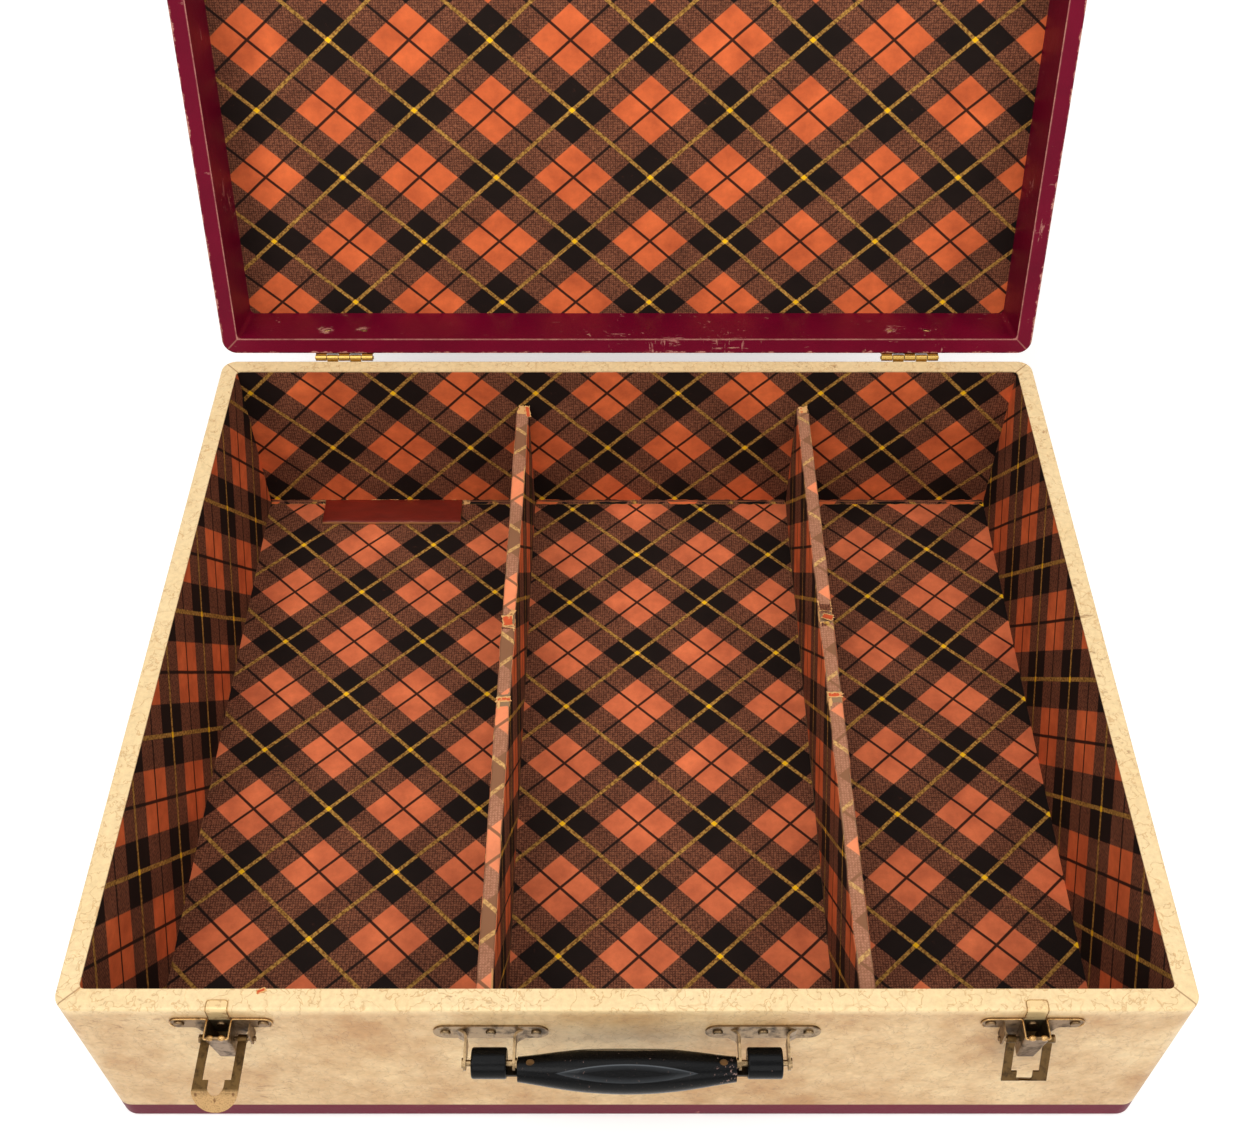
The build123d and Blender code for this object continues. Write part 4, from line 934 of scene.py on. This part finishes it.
@dataclass
class Divider(SubAssembly):
    """A board in a paper wrap: a soft, knocked top edge, torn in two places and frayed at its back end."""

    side: Side
    centre_x: float
    tears: tuple[float, ...]
    thickness: float = 8.2 * MM
    top: float = 97.8 * MM
    edge_radius: float = 1.6 * MM
    worn_depth: float = 12 * MM
    frayed_length: float = 7 * MM
    half_tear: float = 4.5 * MM

    def build(self) -> None:
        """Models the wrap, which stands for the model's plain one, and wears it."""
        half = Vector((self.thickness / 2, BACK_Y, 0.0))
        low, high = (Vector((self.centre_x, 0.0, z)) for z in (FLOOR_Z, self.top))
        wrap = cut_box(f"divider_paper_{self.side.value}", low - half, high + half, {1: 150, 2: 30},
                       self.edge_radius, 3)
        self.wear(wrap)
        pick(wrap)
        bpy.ops.object.shade_smooth_by_angle(angle=math.radians(50))
        self.fit(wrap, "paper_wrap", "divider_paper", replaced=f"divider_wrap_{self.side.value}")

    def stir(self, x: float, y: float, z: float) -> float:
        """Noise at a place in a field of this divider's own."""
        return noise.noise(Vector((x, y, z)) + Vector((self.centre_x * 9, 3.0, 1.0)))

    def wear(self, wrap: Object) -> None:
        """Moves the paper's surface by small knocks and paints where it is torn and where it has faded.

        Args:
            wrap: The wrap.
        """
        torn, faded = [], []
        for vertex in wrap.data.vertices:
            place = vertex.co
            up = max(0.0, (place.z - (self.top - self.worn_depth)) / self.worn_depth)
            swell = (self.stir(*place * 45) * 0.55 + self.stir(*place * 160) * 0.3) * MM
            side = math.copysign(1.0, place.x - self.centre_x)
            mark = 0.12 * up * (1 + self.stir(place.y * 60, side, 9.0))
            sink = 0.35 * MM * up * (0.5 + self.stir(place.y * 90, 0.0, 4.0))
            on_side = abs(place.x - self.centre_x) > self.thickness / 2 - 1.3 * MM
            if on_side and place.z > self.top - 1.4 * MM:
                mark = 0.5 * (0.75 + self.stir(place.y * 40, side, 2.0))
            for tear in self.tears:
                stray = 3.5 * MM * self.stir(place.x * 420, place.z * 420, tear * 90)
                near = math.exp(-(((place.y - tear + stray) / self.half_tear) ** 4)) * up ** 0.6
                mark = max(mark, 0.85 * near)
                sink += 0.9 * MM * near
            end = max(0.0, (place.y - (BACK_Y - self.frayed_length)) / self.frayed_length)
            torn.append(max(mark, 0.55 * end * (0.3 + up)))
            push = side * min(swell, 0.45 * MM) * (0.3 + 0.7 * up)
            vertex.co = place + Vector((push, 0.0, -sink))
            faded.append(min(1.0, max(0.0, (vertex.co.z - (self.top - 2.6 * MM)) / (1.6 * MM))))
        paint_points(wrap, "torn", torn)
        paint_points(wrap, "faded", faded)


@dataclass(frozen=True)
class Flap:
    """One lifted piece of paper: its place, size and curl in millimetres, its turn and how torn it is."""

    x: float
    y: float
    length: float
    width: float
    turn: float
    curl: float
    mark: float
    height: float = 97.3


@dataclass
class TornFlaps(SubAssembly):
    """Lifted pieces of paper on the dividers and one on the rim, with pale edges round the fold's red."""

    places: tuple[Flap, ...] = (
        Flap(-70.6, 31.0, 6.6, 6.6, 96, 1.8, 1.0), Flap(-68.6, 36.0, 5.0, 3.0, 58, 2.4, 0.62),
        Flap(-70.4, 24.8, 3.4, 7.6, 84, 0.9, 0.42), Flap(-70.0, -26.0, 2.8, 8.4, 94, 1.3, 0.86),
        Flap(-72.6, -31.0, 8.0, 1.6, 88, 0.4, 0.62), Flap(118.0, 41.5, 9.5, 7.6, 268, 3.2, 0.30),
        Flap(119.0, 34.0, 5.6, 6.6, 250, 1.8, 1.0), Flap(117.2, 28.0, 4.4, 5.6, 100, 1.2, 0.42),
        Flap(118.3, -23.0, 2.6, 8.8, 92, 1.8, 0.95), Flap(115.2, -29.5, 9.0, 1.8, 88, 0.6, 0.62),
        Flap(-69.8, 211.5, 6.0, 6.2, 80, 3.0, 0.80), Flap(-66.4, 210.0, 7.0, 3.2, 100, 3.8, 1.0),
        Flap(118.2, 211.5, 5.5, 6.2, 100, 2.6, 0.80), Flap(-170.6, -216.5, 4.5, 2.2, 20, 0.3, 1.05, 130.15))
    thickness: float = 0.25 * MM
    pale_margin: float = 0.5 * MM
    core_mark: float = 0.72

    def build(self) -> None:
        """Models each piece from a thin grid, curls it up at one end and paints its torn edges."""
        for number, place in enumerate(self.places):
            flap = begin(bpy.ops.mesh.primitive_grid_add, x_subdivisions=16, y_subdivisions=12, size=1.0)
            for vertex in flap.data.vertices:
                u, v = vertex.co.x, vertex.co.y
                rim = max(abs(u), abs(v)) * 2
                grown = 1 + 0.42 * rim ** 3 * noise.noise(Vector((u * 7.0, v * 7.0, number * 3.7)))
                vertex.co = Vector((u * grown * place.length, v * grown * place.width,
                                    place.curl * (u + 0.5) ** 2)) * MM
            modify(flap, "SOLIDIFY", thickness=self.thickness, offset=0.0)
            modify(flap, "SUBSURF", levels=1, render_levels=1)
            half = Vector((place.length, place.width)) * 0.5 * MM
            torn = []
            for vertex in flap.data.vertices:
                inside = min(half.x - abs(vertex.co.x), half.y - abs(vertex.co.y)) / self.pale_margin
                shown = min(1.0, max(0.0, inside - 0.6))
                torn.append(self.core_mark + (place.mark - self.core_mark) * shown)
            flap.rotation_euler.z = math.radians(place.turn)
            flap.location = Vector((place.x, place.y, place.height)) * MM
            self.fit_paper(flap, f"paper_curl_{number + 1}", torn)


@dataclass
class CleatStrip(SubAssembly):
    """The loose-looking strip of red card that is glued along the foot of the back wall."""

    start: Vector = field(default_factory=lambda: Vector((-216.2, 193.5, 5.5)) * MM)
    end: Vector = field(default_factory=lambda: Vector((-118.2, 215.5, 8.0)) * MM)
    edge_radius: float = 0.5 * MM
    wander: float = 0.5 * MM

    def build(self) -> None:
        """Models the strip with a worn, slightly bowed top."""
        strip = cut_box("cleat_card", self.start, self.end, {0: 28, 1: 8}, self.edge_radius, 2)
        thickness = self.end.z - self.start.z
        for vertex in strip.data.vertices:
            place = vertex.co
            front = max(0.0, 1 - (place.y - self.start.y) / (3 * MM))
            push = noise.noise(place * 240) * self.wander * front
            lift = max(0.0, noise.noise(place * 60)) * self.wander * (place.z - self.start.z) / thickness
            vertex.co = place + Vector((0.0, push, lift))
        bpy.ops.object.shade_smooth_by_angle(angle=math.radians(40))
        self.fit(strip, "red_card", "cleat", replaced="cleat_strip")


@dataclass
class SeamPaper(SubAssembly):
    """The folded edge of the wall paper along the back wall's foot, rubbed pale and torn at the left."""

    rise: float = 2.2 * MM
    thickness: float = 0.3 * MM
    spans: tuple[tuple[float, float], ...] = ((-255.6, -74.6), (-65.6, 113.6), (122.6, 255.6))
    torn_span: tuple[float, float] = (-222 * MM, -112 * MM)

    def build(self) -> None:
        """Models a hollow cove of paper in each bay."""
        for number, (left, right) in enumerate(self.spans):
            cove = begin(bpy.ops.mesh.primitive_grid_add, x_subdivisions=int((right - left) / 2),
                         y_subdivisions=5, size=1.0)
            for vertex in cove.data.vertices:
                along = left * MM + (vertex.co.x + 0.5) * (right - left) * MM
                turn = (vertex.co.y + 0.5) * math.pi / 2
                ragged = self.rise * (1.0 + 0.45 * noise.noise(Vector((along * 210, number, turn))))
                vertex.co = Vector((along, BACK_Y - ragged * (1 - math.sin(turn)),
                                    FLOOR_Z + ragged * (1 - math.cos(turn))))
            modify(cove, "SOLIDIFY", thickness=self.thickness, offset=0.0)
            start, end = self.torn_span
            torn = [0.6 if start < vertex.co.x < end else 0.3 for vertex in cove.data.vertices]
            self.fit_paper(cove, f"seam_paper_{number + 1}", torn)


@dataclass
class Catches(SubAssembly):
    """The two loop catches: stamped sockets with a rolled lip, folded tabs, loops and their rivets.

    Its lengths are in millimetres.
    """

    looks = {"brass_stamped": ("catch_socket", "catch_pin", "lid_keeper", "catch_rivets", "pocket_rivets",
                               "keeper_rivets"),
             "brass_tab": ("catch_back_plate",), "brass_loop": ("catch_loop",)}
    centres: tuple[float, float] = (-190.0, 190.0)
    lip_y: float = -236.1
    lip_z: float = 122.1
    edge_y: float = -226.75
    edge_z: float = 121.75
    half_lip: float = 2.7
    half_tab: float = 5.0
    # Half of the bright edge: round the ear, along the plate's top, out along the pocket's mouth to its lip
    half_edge: tuple[Triple, ...] = (
        (22.4, 0.0, -8.0), (24.0, 0.0, -5.6), (24.0, 0.0, -2.4), (22.2, 0.0, -0.3), (19.75, 0.0, 0.0),
        (9.4, 0.0, 0.1), (7.1, 0.0, 0.2), (5.75, -0.2, 0.25), (5.75, -2.4, 0.3), (5.75, -8.4, 0.3),
        (5.7, -9.8, 0.2), (4.4, -9.9, 0.1))
    # One side of the dark edge of the tab, from its foot over the rim to its end
    tab_edge: tuple[tuple[float, float], ...] = (
        (-226.7, 122.6), (-226.7, 129.6), (-226.2, 130.62), (-224.0, 130.62), (-221.3, 130.62))

    def build(self) -> None:
        """Dresses the nodes and adds the bright edges and the two bosses that end each rolled lip."""
        super().build()
        for side, x in zip(Side, self.centres):
            for number, out in enumerate((-1, 1)):
                route = [Vector((x + out * across, self.edge_y + away, self.edge_z + up)) * MM
                         for across, away, up in self.half_edge]
                bead = sweep_bead(f"socket_edge_{side.value}_{number + 1}", route, 0.42 * MM)
                lip = Vector((x + out * self.half_lip, self.lip_y, self.lip_z)) * MM
                boss = add_ball(f"lip_boss_{side.value}_{number + 1}", 1.45 * MM, lip, (1.35, 0.95, 1.0))
                self.fit(bead, "brass_edge", "brass")
                self.fit(boss, "brass_edge", "brass")
            left, right = ([Vector((x + out * self.half_tab, *place)) * MM for place in self.tab_edge]
                           for out in (-1, 1))
            around = [*left, Vector((x, *self.tab_edge[-1])) * MM, *reversed(right)]
            self.fit(sweep_bead(f"tab_edge_{side.value}", around, 0.22 * MM), "brass_edge", "brass")


@dataclass
class Hinges(SubAssembly):
    """The two knuckle hinges, polished where the lid's turning has rubbed them, with domed pin ends.

    Its lengths are in millimetres.
    """

    looks = {"brass_polished": ("hinge_base_leaf", "hinge_lid_leaf"), "steel_dark": ("hinge_pin",),
             "brass_stamped": ("hinge_nails_base", "hinge_nails_lid")}
    centres: tuple[float, float] = (-187.0, 187.0)
    half_width: float = 19.0
    half_nails: float = 12.0
    nail_z: float = 144.5
    nail_turn: float = 18.0

    def build(self) -> None:
        """Dresses the nodes and adds the domed ends of the pins and the clenched nail ends in the lid."""
        super().build()
        turn = Matrix.Rotation(-LID_ANGLE, 4, "X")
        opened = Matrix.Translation(HINGE) @ turn @ Matrix.Translation(-HINGE)
        for side, x in zip(Side, self.centres):
            for number, out in enumerate((-1, 1)):
                end = Vector(((x + out * self.half_width) * MM, HINGE.y, HINGE.z))
                dome = add_ball(f"pin_end_{side.value}_{number + 1}", 1.15 * MM, end, (0.45, 1.0, 1.0))
                self.fit(dome, "brass_polished", "brass")
                # The nail is made with the lid shut, and then turned to where the lid stands open
                end = Vector((x + out * self.half_nails, NAIL_Y_MM, self.nail_z)) * MM
                nail = add_ball(f"clenched_nail_{side.value}_{number + 1}", 1.0 * MM, end, (2.6, 0.5, 1.2),
                                (16, 10), math.radians(self.nail_turn * out))
                nail.matrix_world = opened
                settle(nail, nail.name)
                self.fit(nail, "brass_edge", "steel", "lid")


@dataclass
class CarryHandle(SubAssembly):
    """The swinging handle: a steel strap, black sleeves and a faceted black grip between two brackets."""

    looks = {"brass_silvered": ("handle_bracket", "handle_pin", "bracket_rivets"),
             "steel_dark": ("handle_core",), "black_moulding": ("handle_sleeve",),
             "black_grip": ("handle_grip",), "brass_stamped": ("grip_screws",)}


@dataclass
class Studio(SubAssembly):
    """White floor, soft light from above and the camera at the photograph's place."""

    lens: float = 42.55
    sensor: float = 36.0
    camera_place: Triple = (0.0, -0.5201, 0.7806)
    pitch: float = 49.26
    aim: Triple = (0.0, 0.0, 0.1)
    # Each lamp's place, width and power
    lamps: dict[str, tuple[Triple, float, float]] = field(default_factory=lambda: {
        "key": ((-0.9, -0.9, 2.1), 1.4, 18.0), "fill": ((1.2, -0.6, 1.8), 1.4, 10.0),
        "top": ((0.0, 0.25, 2.4), 1.6, 11.5), "front": ((0.1, -1.9, 1.1), 1.3, 9.0)})

    def build(self) -> None:
        """Sets up the floor, the world, the lights and the camera."""
        floor = settle(begin(bpy.ops.mesh.primitive_plane_add, size=14.0), "studio_floor")
        self.dress(floor, "white_paper_floor")
        self.light()
        camera_data = bpy.data.cameras.new("camera")
        camera_data.sensor_width = self.sensor
        camera_data.lens = self.lens
        camera = bpy.data.objects.new("camera", camera_data)
        camera.location = self.camera_place
        camera.rotation_euler.x = math.radians(90 - self.pitch)
        scene = bpy.context.scene
        scene.collection.objects.link(camera)
        scene.camera = camera
        scene.view_settings.view_transform = "Standard"

    def light(self) -> None:
        """Lights the case with a pale world and soft lamps."""
        world = bpy.data.worlds.new("pale_room")
        bpy.context.scene.world = world
        world.use_nodes = True
        world.node_tree.nodes.clear()
        add = partial(add_node, world.node_tree)
        strength = add("MapRange", [seen_at_once(add), 0.0, 1.0, 0.55])
        add("OutputWorld", [add("Background", ["#FFFEFC", strength])])
        for name, (place, size, power) in self.lamps.items():
            data = bpy.data.lights.new(name, "AREA")
            data.shape = "DISK"
            data.size = size
            data.energy = power
            lamp = bpy.data.objects.new(name, data)
            lamp.location = place
            lamp.rotation_euler = (Vector(self.aim) - Vector(place)).to_track_quat("-Z", "Y").to_euler()
            bpy.context.scene.collection.objects.link(lamp)


def main() -> None:
    """Builds and dresses the case in order."""
    logging.basicConfig(level=logging.INFO, format="%(name)s: %(message)s")
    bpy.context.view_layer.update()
    finishes = make_finishes()
    for part in (
        Studio(finishes),
        Carcass(finishes),
        Linings(finishes),
        Divider(finishes, Side.LEFT, -70.1 * MM, (30 * MM, -27 * MM)),
        Divider(finishes, Side.RIGHT, 118.1 * MM, (34 * MM, -24 * MM)),
        TornFlaps(finishes),
        CleatStrip(finishes),
        SeamPaper(finishes),
        Catches(finishes),
        Hinges(finishes),
        CarryHandle(finishes),
    ):
        part.build()
        LOG.info("built %s", type(part).__name__)


if __name__ == "__main__":
    main()
